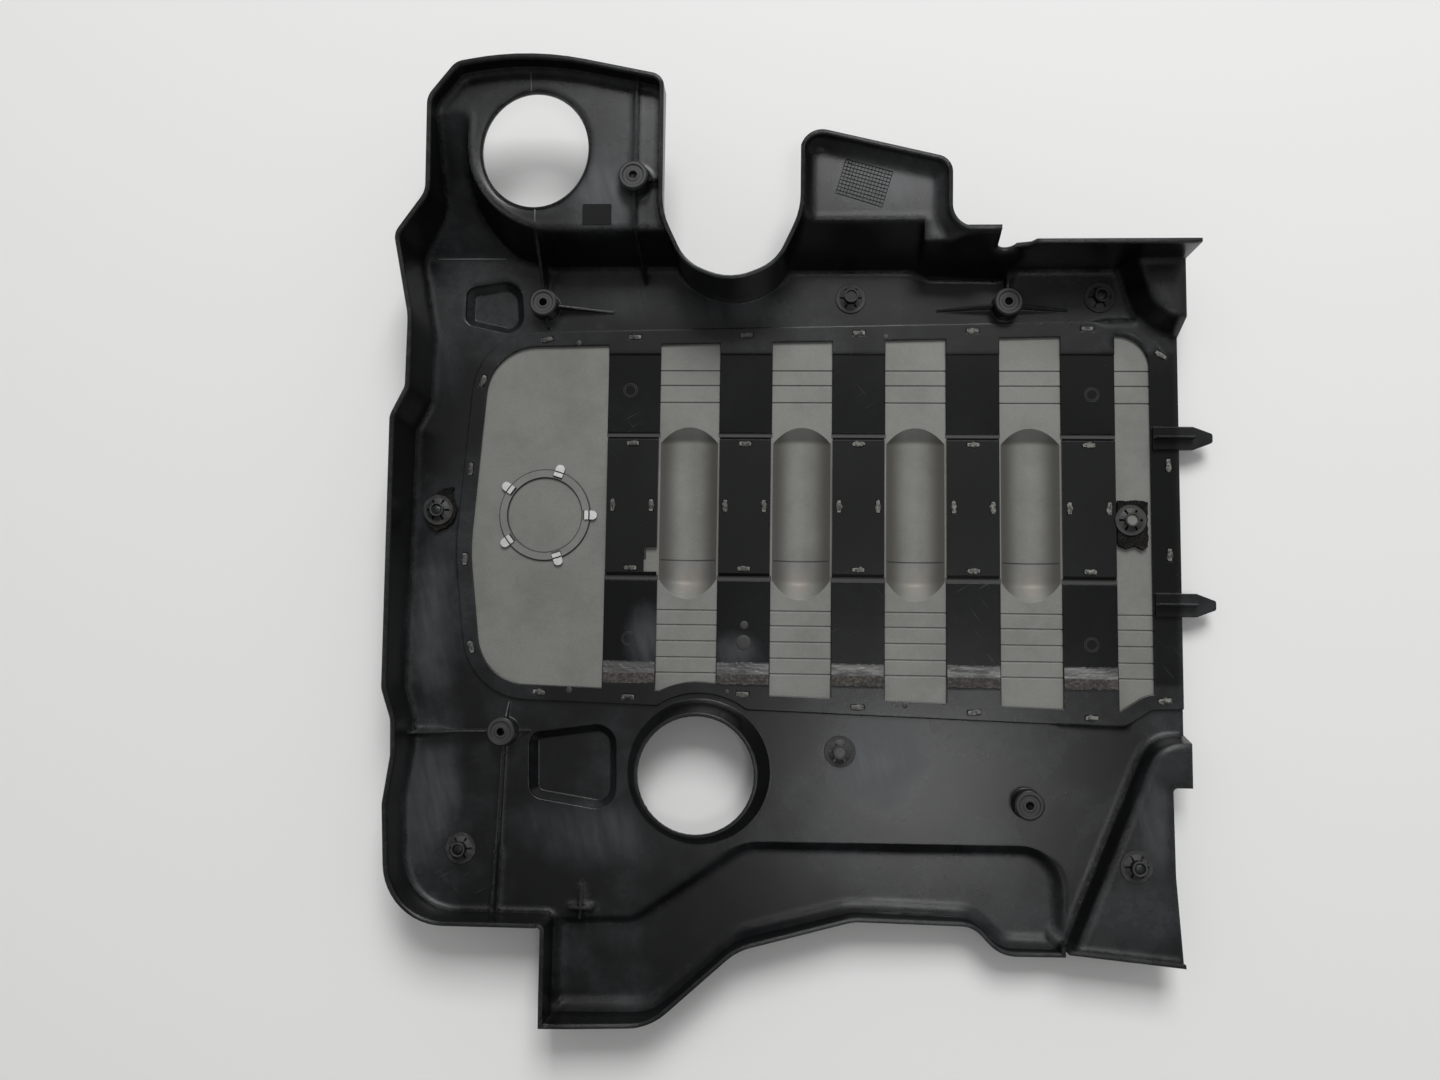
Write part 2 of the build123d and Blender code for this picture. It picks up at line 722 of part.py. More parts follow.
def trim_panel():
    """The painted panel with its tubes, grooves, stakes and the seat of the disc."""
    inset = WALL + PANEL_FIT
    plate = prism(recess_outline(inset, END - PANEL_END_MARGIN), TUBE_DEPTH, PANEL_BACK)
    plate -= collar_clearance(COLLAR_MARGIN + inset, PANEL_BACK)
    centres = [bar + BAR_PITCH / 2 for bar in BARS[:-1]]
    under = block((-REACH, -REACH, -REACH), (REACH, REACH, PANEL_BACK - PANEL_WALL / 2))
    outsides = [tube(x, PANEL_WALL) & under for x in centres]
    cuts = [tube(x, 0.0) for x in centres]
    for y in GROOVES:
        low = (BARS[0], y - GROOVE_WIDTH / 2, PANEL_BACK - GROOVE_DEPTH)
        high = (END - END_STRIP_WIDTH + OVERSHOOT, y + GROOVE_WIDTH / 2, PANEL_BACK + OVERSHOOT)
        cuts.append(block(low, high))
    for bar in BARS:
        low = (bar - PANEL_SLOT_WIDTH / 2, PLATE_LOW + PANEL_SLOT_MARGIN, TUBE_DEPTH - OVERSHOOT)
        high = (bar + PANEL_SLOT_WIDTH / 2, PLATE_HIGH - PANEL_SLOT_MARGIN, PANEL_BACK + OVERSHOOT)
        cuts.append(block(low, high))
    seat_top = PANEL_BACK + SEAT_RISE
    root = PANEL_BACK - PANEL_WALL / 2
    seat = cone(DISC_CENTRE, root, SEAT_RADIUS, seat_top, SEAT_RADIUS)
    seat -= cone(DISC_CENTRE, root - OVERSHOOT, SEAT_BORE, seat_top + OVERSHOOT, SEAT_BORE)
    cuts += disc_tabs(TAB_CLEARANCE, TUBE_DEPTH - OVERSHOOT, seat_top + OVERSHOOT)
    stakes = [bar_at(p, STAKE_LENGTH, STAKE_WIDTH, root, STRIP + STAKE_RISE) for p in strip_stakes()]
    plate_top = PANEL_BACK + PLATE_WALL
    for bar in BARS:
        for place in plate_stakes(bar):
            stakes.append(bar_at(place, STAKE_LENGTH, STAKE_WIDTH, root, plate_top + STAKE_RISE))
    fittings = [*stakes, stud(*PANEL_STUD, PANEL_BACK)]
    return plate.fuse(*outsides, seat).cut(*cuts).fuse(*fittings)


def slot_plate(index):
    """One of the black plates between the tubes; the first has lost a corner."""
    bar = BARS[index]
    half = BAR_WIDTH / 2 - PLATE_MARGIN
    top = PANEL_BACK + PLATE_WALL
    plate = block((bar - half, PLATE_LOW, PANEL_BACK), (bar + half, PLATE_HIGH, top))
    ends = plate.faces().sort_by(Axis.Z)[-1].edges().filter_by(Axis.X)
    plate = chamfer(ends, PLATE_EDGE)
    cuts = [stake_slot(p, PANEL_BACK - OVERSHOOT, top + OVERSHOOT) for p in plate_stakes(bar)]
    if index == 0:
        width, height = PLATE_NOTCH
        start = PLATE_LOW + PLATE_NOTCH_START
        low = (bar + half - width, start, PANEL_BACK - OVERSHOOT)
        high = (bar + half + OVERSHOOT, start + height, top + OVERSHOOT)
        cuts.append(block(low, high))
    return plate.cut(*cuts)


def tabbed_disc():
    """The plain round plate on the front, with tabs through the panel that are bent outwards."""
    disc = many_sided(DISC_CENTRE, TUBE_DEPTH - DISC_WALL, TUBE_DEPTH, DISC_RADIUS, DISC_SIDES)
    seat_top = PANEL_BACK + SEAT_RISE
    pieces = disc_tabs(0.0, TUBE_DEPTH - DISC_WALL / 2, seat_top + TAB_WALL)
    length = TAB_REACH - TAB_RADIUS
    for i in range(TAB_COUNT):
        foot = bar_at((TAB_RADIUS + length / 2, 0, 0), length, TAB_WIDTH, seat_top, seat_top + TAB_WALL)
        tip = foot.faces().sort_by(Axis.X)[-1].edges().filter_by(Axis.Z)
        foot = chamfer(tip, TAB_CORNER)
        pieces.append(Pos(*DISC_CENTRE) * Rot(0, 0, i * 360 / TAB_COUNT) * foot)
    return disc.fuse(*pieces)


def star_washer(x, y, base):
    """A push-on washer whose teeth grip the stud."""
    washer = many_sided((x, y), base, base + WASHER_WALL, WASHER_RADIUS, WASHER_SIDES)
    low, high = base - OVERSHOOT, base + WASHER_WALL + OVERSHOOT
    return washer - many_sided((x, y), low, high, STUD_RADIUS + WASHER_GRIP, WASHER_TEETH)


def foam(place, outline):
    """A torn scrap of foam around a stud."""
    x, y, floor = place
    points = [(x + a, y + b, floor) for a, b in outline]
    scrap = Solid.extrude(Face(Wire.make_polygon(points)), Vector(0, 0, FOAM_WALL))
    low, high = floor - OVERSHOOT, floor + FOAM_WALL + OVERSHOOT
    return scrap - many_sided((x, y), low, high, STUD_RADIUS + FOAM_BORE_GAP, FOAM_TEAR_SIDES)


def push_retainers():
    """Every washer: those on the cover's studs, and the one on the panel's stud."""
    washers = []
    for place in COVER_STUDS:
        x, y, floor = place
        base = floor + FOAM_WALL if place == LEFT_FOAM_STUD else floor
        washers.append(star_washer(x, y, base))
    washers.append(star_washer(*PANEL_STUD, PANEL_BACK + FOAM_WALL))
    return Compound([solid for washer in washers for solid in washer.solids()])


pieces = {
    "main_cover": main_cover(),
    "trim_panel": trim_panel(),
    "tabbed_disc": tabbed_disc(),
    "push_retainers": push_retainers(),
    "foam_scrap_left": foam(LEFT_FOAM_STUD, LEFT_FOAM),
    "foam_scrap_right": foam((*PANEL_STUD, PANEL_BACK), RIGHT_FOAM),
}
for index in range(BAR_COUNT):
    pieces[f"slot_plate_{index + 1}"] = slot_plate(index)

# The cover's own box sets the frame: the origin is at the middle of its footprint
middle = pieces["main_cover"].bounding_box().center()
home = Pos(-middle.X, -middle.Y, 0)
os.makedirs("parts", exist_ok=True)
for name, piece in pieces.items():
    export_step(home * piece, f"parts/{name}.step")
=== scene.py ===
"""Looks of the engine cover: finishes, fine moulded detail, fasteners, foam, studio and camera."""

import logging
import math
from dataclasses import dataclass, field
from enum import Enum
from typing import Sequence

import bmesh
import bpy
from mathutils import Matrix, Vector, noise


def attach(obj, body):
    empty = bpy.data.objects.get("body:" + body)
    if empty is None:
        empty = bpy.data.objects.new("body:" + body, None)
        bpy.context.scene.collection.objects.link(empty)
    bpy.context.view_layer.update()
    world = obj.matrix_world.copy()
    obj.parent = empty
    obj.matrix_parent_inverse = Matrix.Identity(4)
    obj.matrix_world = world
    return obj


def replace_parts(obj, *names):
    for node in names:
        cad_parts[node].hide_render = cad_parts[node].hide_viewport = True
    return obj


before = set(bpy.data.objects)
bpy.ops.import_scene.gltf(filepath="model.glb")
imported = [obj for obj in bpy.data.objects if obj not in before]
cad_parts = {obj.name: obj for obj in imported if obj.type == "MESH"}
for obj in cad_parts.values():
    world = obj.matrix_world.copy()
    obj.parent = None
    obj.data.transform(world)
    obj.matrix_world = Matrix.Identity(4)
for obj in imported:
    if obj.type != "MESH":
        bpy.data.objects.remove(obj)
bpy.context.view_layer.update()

LOG = logging.getLogger("engine_cover")
MM = 0.001
ROOT_BODY = "root"
SHARP_ANGLE = math.radians(38)
MERGE_GAP = 1e-6
UPRIGHT_RISE = 0.1 * MM
PLATE_COUNT = 5
NOISE_SEED = 7

Colour = tuple[float, float, float]
Place = tuple[float, float, float]
Socket = bpy.types.NodeSocket
Node = bpy.types.Node
Tree = bpy.types.NodeTree
Material = bpy.types.Material
Item = bpy.types.Object
Mesh = bmesh.types.BMesh


def mm(*values: float) -> tuple[float, ...]:
    """Turn millimetres into metres."""
    return tuple(value * MM for value in values)


class Slot(Enum):
    """Material slots of the record."""

    COVER = "main_cover"
    PANEL = "trim_panel"
    DISC = "tabbed_disc"
    RETAINER = "push_retainers"
    FOAM = "foam_scrap"


class Effect(Enum):
    """Shader node groups that the finishes share."""

    GRAIN = "moulded_grain"
    SCUFFS = "handling_scuffs"
    DUST = "settled_dust"
    HAZE = "streaky_haze"


@dataclass(frozen=True)
class Plastic:
    """A moulded plastic: its colours, gloss and grain, and how dusty, scuffed and rounded it is."""

    name: str
    base: Colour
    # The dust colour, which the cover's film patches also use as painted sheen.
    dusty_and_sheen: Colour
    worn: Colour
    roughness: float
    dusty_roughness: float
    grain: float
    dust: float
    scuffs: float
    edge_radius: float
    edge_wear: float
    soft_radius: float = 0.0
    specular: float = 0.4


@dataclass(frozen=True)
class Paint:
    """A grey paint with fine flakes and stains, painted shade on the tubes' leaning sides, and the places
    where painted shade draws dark lines on it.
    """

    name: str
    base: Colour
    flake: Colour
    stain_and_shade: Colour
    tint: Colour
    line: Colour
    roughness: float
    metallic: float
    tube_line: float
    gap_lines: tuple[float, float]
    first_bar: float
    bar_pitch: float
    bar_half: float
    seat_rings: tuple[float, float]
    slot_span: tuple[float, float]
    slot_half: float
    tube_mouth: tuple[float, float] = mm(8.6, 9.2)
    line_half: float = 0.5 * MM
    gap_half: float = 2.0 * MM


@dataclass(frozen=True)
class Metal:
    """A bare or coated metal."""

    name: str
    base: Colour
    worn: Colour
    roughness: float
    metallic: float
    crease: float = 0.0


@dataclass(frozen=True)
class Foam:
    """A torn open-cell foam: its colours, cells in a metre, gloss and depth of pores."""

    name: str = "torn_foam"
    pore_shade: Colour = (0.003, 0.003, 0.003)
    dark: Colour = (0.006, 0.006, 0.006)
    light: Colour = (0.022, 0.02, 0.018)
    cells: float = 950.0
    roughness: float = 0.95
    specular: float = 0.15
    depth: float = 0.4 * MM


@dataclass(frozen=True)
class Residue:
    """Dried glue with brown crumbs below it and a line of painted shade along its top: its colours, and where
    it pales along x and changes along y.
    """

    name: str = "dried_residue"
    dull: Colour = (0.022, 0.023, 0.022)
    pale: Colour = (0.15, 0.153, 0.147)
    crumb: Colour = (0.014, 0.012, 0.01)
    speck: Colour = (0.062, 0.054, 0.046)
    painted_edge_shade: Colour = (0.006, 0.006, 0.006)
    paling: tuple[float, float] = mm(-90.0, 20.0)
    crumbs_from: tuple[float, float] = mm(-90.0, -92.0)
    top_edge: float = -83.2 * MM
    depth: float = 0.12 * MM


@dataclass(frozen=True)
class Stake:
    """Melted plastic, paler where it was torn, and more so towards one end of the part."""

    name: str = "melted_stake"
    base: Colour = (0.02, 0.02, 0.019)
    torn: Colour = (0.2, 0.2, 0.178)
    paling: tuple[float, float] = mm(-140.0, 160.0)
    depth: float = 0.2 * MM


@dataclass(frozen=True)
class Haze:
    """A patch of dried film or wear, also used to paint sheen and light: its middle, its reach along x, y and
    z, and its strength.
    """

    centre: Place
    reach: Place
    strength: float


@dataclass(frozen=True)
class Zone:
    """A region of the moulding: axis, start and full reach of each of its soft limits."""

    limits: tuple[tuple[str, float, float], ...]


COVER_BLACK = Plastic(
    "cover_black", (0.0035, 0.0037, 0.0042), (0.1, 0.107, 0.113), (0.15, 0.155, 0.155),
    0.26, 0.48, 0.25, 0.24, 0.3, 1.2 * MM, 0.1, 6.0 * MM, 0.34,
)
PLATE_BLACK = Plastic(
    "plate_black", (0.0045, 0.0047, 0.005), (0.028, 0.03, 0.03), (0.1, 0.1, 0.096),
    0.3, 0.45, 0.2, 0.12, 0.25, 0.5 * MM, 0.3, 0.0, 0.22,
)
TOWER_BLACK = Plastic(
    "tower_black", (0.022, 0.022, 0.023), (0.06, 0.06, 0.06), (0.16, 0.16, 0.155),
    0.5, 0.62, 0.3, 0.4, 0.3, 0.3 * MM, 0.4,
)
# Pale grey of the thin ridges: a painted highlight along them.
SEAM_HIGHLIGHT = Plastic(
    "seam_grey", (0.07, 0.072, 0.074), (0.12, 0.12, 0.12), (0.2, 0.2, 0.2),
    0.4, 0.5, 0.2, 0.4, 0.2, 0.2 * MM, 0.2,
)
MARK_BLACK = Plastic(
    "mark_black", (0.004, 0.0042, 0.0045), (0.014, 0.015, 0.016), (0.06, 0.06, 0.06),
    0.62, 0.7, 0.4, 0.25, 0.1, 0.1 * MM, 0.1, 0.0, 0.15,
)
DISC_CENTRE: Place = (-180.157 * MM, 17.563 * MM, 0.0)
DISC_TABS = 5
# Painted shade for the bend of each tab.
PAINTED_BEND_SHADE: Colour = (0.03, 0.03, 0.03)
GRAIN_DEPTH = 0.15 * MM
CLEAN_DUST = 0.2
CLEAN_GLOSS = 0.5
PANEL_GREY = Paint(
    "panel_grey", (0.16, 0.162, 0.149), (0.31, 0.31, 0.285), (0.06, 0.057, 0.05), (0.23, 0.195, 0.165),
    (0.014, 0.014, 0.014),
    0.44, 0.08, -12.9 * MM, mm(74.6, -25.4), -118.757 * MM, 78.4 * MM, 18.7 * MM,
    mm(26.2, 31.9), mm(26.9, 31.4), 3.5 * MM,
)
DISC_METAL = Metal("disc_metal", (0.66, 0.66, 0.65), (0.5, 0.5, 0.49), 0.38, 1.0, 31.45 * MM)
RETAINER_BLACK = Metal("retainer_black", (0.009, 0.009, 0.009), (0.036, 0.034, 0.032), 0.5, 0.0)

# Patches on the cover: partly dried film, partly painted sheen that lightens the deck, platforms and tongues
# where reflections fall.
COVER_FILM_AND_SHEEN = [
    Haze(mm(-254.9, -176.0, 9.5), (0.03, 0.075, 0.02), 0.53),
    Haze(mm(54.0, -148.0, 9.5), (0.045, 0.042, 0.02), 1.0),
    Haze(mm(-257.0, -50.0, 9.5), (0.024, 0.08, 0.02), 0.56),
    Haze(mm(-256.0, 132.7, 9.5), (0.02, 0.05, 0.02), 0.21),
    Haze(mm(-111.5, -198.3, 9.5), (0.11, 0.035, 0.02), 0.35),
    Haze(mm(-138.0, 234.0, 59.0), (0.04, 0.05, 0.02), 0.56),
    Haze(mm(60.0, 240.0, 59.0), (0.06, 0.04, 0.02), 0.42),
    Haze(mm(-45.0, 165.0, 9.5), (0.08, 0.02, 0.02), 0.35),
    Haze(mm(-130.0, 171.0, 9.5), (0.06, 0.02, 0.02), 0.25),
    Haze(mm(231.0, -190.0, 28.0), (0.016, 0.05, 0.02), 0.39),
    Haze(mm(-108.0, -66.0, 10.7), (0.016, 0.03, 0.01), 0.56),
    Haze(mm(-46.0, -76.0, 10.7), (0.022, 0.016, 0.01), 0.49),
]
# Warm patches at the tubes' lower ends: partly a stain, partly painted light on the ends that face the light.
TUBE_END_TINTS_AND_LIGHT = [
    Haze(mm(x, -27.0, 4.0), (0.014, 0.014, 0.02), 0.6) for x in (-79.6, -1.2, 77.2, 155.6)
]
CLEAN_RECESS = Zone((
    ("X", -168.0 * MM, -160.0 * MM), ("X", 258.0 * MM, 250.0 * MM),
    ("Y", -98.0 * MM, -92.0 * MM), ("Y", 136.0 * MM, 130.0 * MM),
))
SOFT_ZONES = [
    Zone((("X", -238.0 * MM, -250.0 * MM),)),
    Zone((("Y", 176.0 * MM, 190.0 * MM),)),
    Zone((("Y", -204.0 * MM, -216.0 * MM),)),
    Zone((("X", 196.0 * MM, 208.0 * MM), ("Y", 128.0 * MM, 140.0 * MM))),
    Zone((("X", 166.0 * MM, 176.0 * MM), ("Y", -118.0 * MM, -128.0 * MM))),
]


class NodeBuilder:
    """Adds shader nodes to a tree and links them."""

    def __init__(self, tree: Tree) -> None:
        """Keep the tree that the nodes go into."""
        self.tree = tree

    def add(self, kind: str, **settings: object) -> Node:
        """Add one node.

        Args:
            kind: Blender's name of the node type.
            settings: Properties of the node; a name that starts with in_ and a number sets an input.

        Returns:
            The new node.
        """
        node = self.tree.nodes.new(kind)
        for key, value in settings.items():
            if key.startswith("in_"):
                self.feed(value, node.inputs[int(key[3:])])
            else:
                setattr(node, key, value)
        return node

    def feed(self, value: object, socket: Socket) -> None:
        """Link an output to a socket, or set the socket's own value.

        Args:
            value: The output or the value.
            socket: The input.
        """
        if isinstance(value, Socket):
            self.tree.links.new(value, socket)
        else:
            socket.default_value = value

    def math(self, operation: str, a: object, b: object = 0.0, clamp: bool = False) -> Socket:
        """Work out a sum of one or two values, kept between 0 and 1 where it is clamped."""
        node = self.add("ShaderNodeMath", operation=operation, use_clamp=clamp, in_0=a, in_1=b)
        return node.outputs[0]

    def vector(self, operation: str, a: object, b: object) -> Socket:
        """Work out a sum of two vectors."""
        return self.add("ShaderNodeVectorMath", operation=operation, in_0=a, in_1=b).outputs["Vector"]

    def length(self, vector: Socket) -> Socket:
        """Measure a vector's length."""
        return self.add("ShaderNodeVectorMath", operation="LENGTH", in_0=vector).outputs["Value"]

    def most(self, values: Sequence[Socket]) -> Socket:
        """Take the largest of several values.

        Args:
            values: The values.

        Returns:
            The largest one.
        """
        result = values[0]
        for value in values[1:]:
            result = self.math("MAXIMUM", result, value)
        return result

    def product(self, *values: object) -> Socket:
        """Multiply several values.

        Args:
            values: Values or sockets.

        Returns:
            Their product.
        """
        result = values[0]
        for value in values[1:]:
            result = self.math("MULTIPLY", result, value)
        return result

    def near(self, value: object, target: float, half: float) -> Socket:
        """Mark, with soft edges, where a value lies within half a band's width of a target."""
        gap = self.math("ABSOLUTE", self.math("SUBTRACT", value, target))
        return self.span(gap, half * 0.7, half * 1.2, 1.0, 0.0)

    def fold(self, value: object, pitch: float) -> Socket:
        """Fold a value into its distance from the nearest multiple of a pitch.

        Args:
            value: The value or socket.
            pitch: The step of the pattern.

        Returns:
            The distance.
        """
        share = self.math("FRACT", self.math("ADD", self.math("DIVIDE", value, pitch), 0.5))
        gap = self.math("ABSOLUTE", self.math("SUBTRACT", share, 0.5))
        return self.math("MULTIPLY", gap, pitch)

    def mix(self, factor: object, a: object, b: object) -> Socket:
        """Mix two colours.

        Args:
            factor: Share of the second colour.
            a: First colour or socket.
            b: Second colour or socket.

        Returns:
            The mixed colour.
        """
        node = self.add("ShaderNodeMix", data_type="RGBA")
        self.feed(factor, node.inputs["Factor"])
        colours = [s for s in node.inputs if s.type == "RGBA"]
        for socket, value in zip(colours, (a, b)):
            self.feed((*value, 1.0) if isinstance(value, tuple) else value, socket)
        return next(s for s in node.outputs if s.type == "RGBA")

    def span(
        self, value: object, low: float, high: float, to_low: float = 0.0, to_high: float = 1.0,
    ) -> Socket:
        """Map a range of values smoothly to another one.

        Args:
            value: The value or socket to map.
            low: Start of its range.
            high: End of its range.
            to_low: What the start becomes.
            to_high: What the end becomes.

        Returns:
            The mapped value.
        """
        node = self.add("ShaderNodeMapRange", interpolation_type="SMOOTHSTEP")
        for index, item in enumerate((value, low, high, to_low, to_high)):
            self.feed(item, node.inputs[index])
        return node.outputs[0]

    def noise(self, vector: object, scale: float, detail: float = 2.0, roughness: float = 0.5) -> Socket:
        """Add a noise texture.

        Args:
            vector: Where it is read.
            scale: Waves in a metre.
            detail: Octaves.
            roughness: How strong the finer octaves are.

        Returns:
            The noise, around one half.
        """
        node = self.add("ShaderNodeTexNoise")
        self.feed(vector, node.inputs["Vector"])
        node.inputs["Scale"].default_value = scale
        node.inputs["Detail"].default_value = detail
        node.inputs["Roughness"].default_value = roughness
        return node.outputs[0]

    def stretched(self, vector: object, angle: float, scale: Place) -> Socket:
        """Turn and stretch coordinates in plan.

        Args:
            vector: The coordinates.
            angle: Turn around the upright axis.
            scale: Stretch along each axis.

        Returns:
            The new coordinates.
        """
        node = self.add("ShaderNodeMapping", vector_type="TEXTURE")
        self.feed(vector, node.inputs["Vector"])
        node.inputs["Rotation"].default_value = (0.0, 0.0, angle)
        node.inputs["Scale"].default_value = scale
        return node.outputs[0]


class EffectLibrary:
    """The shader node groups that more than one finish uses."""

    VECTOR = ("Vector", "NodeSocketVector")
    AMOUNT = ("Amount", "NodeSocketFloat")

    def __init__(self) -> None:
        """Build each group once."""
        self.groups: dict[Effect, Tree] = {
            Effect.GRAIN: self._grain(),
            Effect.SCUFFS: self._scuffs(),
            Effect.DUST: self._dust(),
            Effect.HAZE: self._haze(),
        }

    @staticmethod
    def _open(
        effect: Effect, inputs: Sequence[tuple[str, str]], output: str,
    ) -> tuple[NodeBuilder, dict[str, Socket], Socket]:
        """Start a group with named sockets.

        Args:
            effect: Which group it is.
            inputs: Name and socket type of each input.
            output: Name of the output value.

        Returns:
            A builder for the group, its inputs by name, and the socket of its output.
        """
        tree = bpy.data.node_groups.new(effect.value, "ShaderNodeTree")
        for name, kind in inputs:
            tree.interface.new_socket(name, in_out="INPUT", socket_type=kind)
        tree.interface.new_socket(output, in_out="OUTPUT", socket_type="NodeSocketFloat")
        build = NodeBuilder(tree)
        start = build.add("NodeGroupInput").outputs
        end = build.add("NodeGroupOutput").inputs
        return build, {name: start[name] for name, _ in inputs}, end[output]

    def _grain(self) -> Tree:
        """Fine moulded grain with a slow waviness under it.

        Returns:
            The group.
        """
        inputs = [self.VECTOR, ("Wave", "NodeSocketFloat")]
        build, start, end = self._open(Effect.GRAIN, inputs, "Height")
        fine = build.noise(start["Vector"], 1100.0, 2.0, 0.6)
        slow = build.noise(start["Vector"], 22.0, 2.0)
        build.feed(build.math("ADD", fine, build.product(slow, start["Wave"])), end)
        return build.tree

    def _scuffs(self) -> Tree:
        """Thin handling scratches in two directions, in patches.

        Returns:
            The group.
        """
        build, start, end = self._open(Effect.SCUFFS, [self.VECTOR, self.AMOUNT], "Mask")
        lines = []
        for angle, stretch in ((0.5, 26.0), (-0.9, 34.0)):
            turned = build.stretched(start["Vector"], angle, (stretch, 1.0, 1.0))
            lines.append(build.span(build.noise(turned, 900.0, 3.0, 0.6), 0.66, 0.74))
        patches = build.span(build.noise(start["Vector"], 11.0, 3.0, 0.6), 0.5, 0.68)
        mask = build.product(build.most(lines), patches)
        build.feed(build.math("MULTIPLY", mask, start["Amount"], clamp=True), end)
        return build.tree

    def _dust(self) -> Tree:
        """Dust and dried film that lies in clouds on faces that look up.

        Returns:
            The group.
        """
        inputs = [self.VECTOR, ("Normal", "NodeSocketVector"), self.AMOUNT]
        build, start, end = self._open(Effect.DUST, inputs, "Mask")
        clouds = build.span(build.noise(start["Vector"], 10.0, 5.0, 0.62), 0.42, 0.7)
        fine = build.span(build.noise(start["Vector"], 130.0, 4.0, 0.7), 0.3, 0.75, 0.55, 1.0)
        up = build.add("ShaderNodeSeparateXYZ", in_0=start["Normal"]).outputs["Z"]
        mask = build.product(clouds, fine, build.span(up, 0.1, 0.95))
        build.feed(build.math("MULTIPLY", mask, start["Amount"], clamp=True), end)
        return build.tree

    def _haze(self) -> Tree:
        """A streaky patch with a ragged edge around a point.

        Returns:
            The group.
        """
        inputs = [self.VECTOR, ("Centre", "NodeSocketVector"), ("Reach", "NodeSocketVector"), self.AMOUNT]
        build, start, end = self._open(Effect.HAZE, inputs, "Mask")
        gap = build.vector("SUBTRACT", start["Vector"], start["Centre"])
        far = build.length(build.vector("DIVIDE", gap, start["Reach"]))
        edge = build.product(build.noise(start["Vector"], 38.0, 5.0, 0.6), 0.9)
        body = build.span(build.math("ADD", far, edge), 0.5, 1.5, 1.0, 0.0)
        swirl = build.stretched(start["Vector"], 0.25, (1.0, 7.0, 1.0))
        streaks = build.span(build.noise(swirl, 150.0, 5.0, 0.6), 0.25, 0.75, 0.55, 1.0)
        mask = build.product(body, streaks)
        build.feed(build.math("MULTIPLY", mask, start["Amount"], clamp=True), end)
        return build.tree


class Surface(NodeBuilder):
    """A material under construction, with one Principled shader and Object coordinates."""

    def __init__(self, name: str, effects: EffectLibrary) -> None:
        """Start the material.

        Args:
            name: Its name.
            effects: The shared shader node groups.
        """
        self.material = bpy.data.materials.new(name)
        self.material.use_nodes = True
        super().__init__(self.material.node_tree)
        self.effects = effects
        self.shader = self.tree.nodes["Principled BSDF"]
        self.where = self.add("ShaderNodeTexCoord").outputs["Object"]
        self.parts = self.add("ShaderNodeSeparateXYZ", in_0=self.where).outputs

    def finish(self, **values: object) -> Material:
        """Feed the shader's inputs.

        Args:
            values: Values or sockets by the inputs' names, with _ for each space.

        Returns:
            The material.
        """
        for name, value in values.items():
            self.feed(value, self.shader.inputs[name.replace("_", " ")])
        return self.material

    def effect(self, effect: Effect, **inputs: object) -> Socket:
        """Place a shared effect at the Object coordinates.

        Args:
            effect: Which effect.
            inputs: Values or sockets for its other inputs.

        Returns:
            The effect's output.
        """
        node = self.add("ShaderNodeGroup")
        node.node_tree = self.effects.groups[effect]
        for name, value in {"Vector": self.where, **inputs}.items():
            self.feed(value, node.inputs[name])
        return node.outputs[0]

    def hazes(self, hazes: Sequence[Haze]) -> list[Socket]:
        """Place several patches of haze, and give the mask of each."""
        return [self.effect(Effect.HAZE, Centre=h.centre, Reach=h.reach, Amount=h.strength) for h in hazes]

    def zone(self, zone: Zone) -> Socket:
        """Mark a zone."""
        return self.product(*(self.span(self.parts[axis], start, full) for axis, start, full in zone.limits))

    def around_disc(self) -> tuple[Socket, Socket]:
        """Measure from the middle of the disc.

        Returns:
            The distance in plan, and the sideways distance from the nearest tab's middle.
        """
        flat = self.vector("MULTIPLY", self.vector("SUBTRACT", self.where, DISC_CENTRE), (1.0, 1.0, 0.0))
        far = self.length(flat)
        parts = self.add("ShaderNodeSeparateXYZ", in_0=flat).outputs
        angle = self.math("ARCTAN2", parts["Y"], parts["X"])
        return far, self.product(self.fold(angle, math.tau / DISC_TABS), far)

    def shade_lines(self, finish: Paint) -> Socket:
        """Mark the dark lines of painted shade: across the tubes, in the gaps at the plates' ends, around the
        seat and in the tabs' slots.

        Args:
            finish: The paint that the lines lie on.

        Returns:
            The mask of all the lines.
        """
        across, along, height = (self.parts[axis] for axis in "XYZ")
        in_tube = self.span(height, *finish.tube_mouth, 0.85, 0.0)
        lines = [self.product(self.near(along, finish.tube_line, finish.line_half), in_tube)]
        offset = self.fold(self.math("SUBTRACT", across, finish.first_bar), finish.bar_pitch)
        under_bar = self.span(offset, finish.bar_half, finish.bar_half + 0.3 * MM, 0.9, 0.0)
        gaps = self.most([self.near(along, place, finish.gap_half) for place in finish.gap_lines])
        first_edge = finish.first_bar - finish.bar_half
        right = self.span(across, first_edge - 2.0 * MM, first_edge - MM)
        lines.append(self.product(gaps, under_bar, right))
        far, beside = self.around_disc()
        lines += [self.product(self.near(far, r, finish.line_half), 0.85) for r in finish.seat_rings]
        low, high = finish.slot_span
        slot = self.near(far, (low + high) / 2, (high - low) / 2)
        lines.append(self.product(slot, self.near(beside, 0.0, finish.slot_half)))
        return self.most(lines)

    def relief(self, height: Socket, depth: float, under: Socket | None = None) -> None:
        """Give the shader a bumpy normal.

        Args:
            height: Height of the bumps, from 0 to 1.
            depth: How far the bumps stand out, in metres.
            under: The normal under the bumps, where it isn't the mesh's own.
        """
        bump = self.add("ShaderNodeBump")
        bump.inputs["Strength"].default_value = 1.0
        bump.inputs["Distance"].default_value = depth
        self.feed(height, bump.inputs["Height"])
        if under is not None:
            self.feed(under, bump.inputs["Normal"])
        self.finish(Normal=bump.outputs[0])


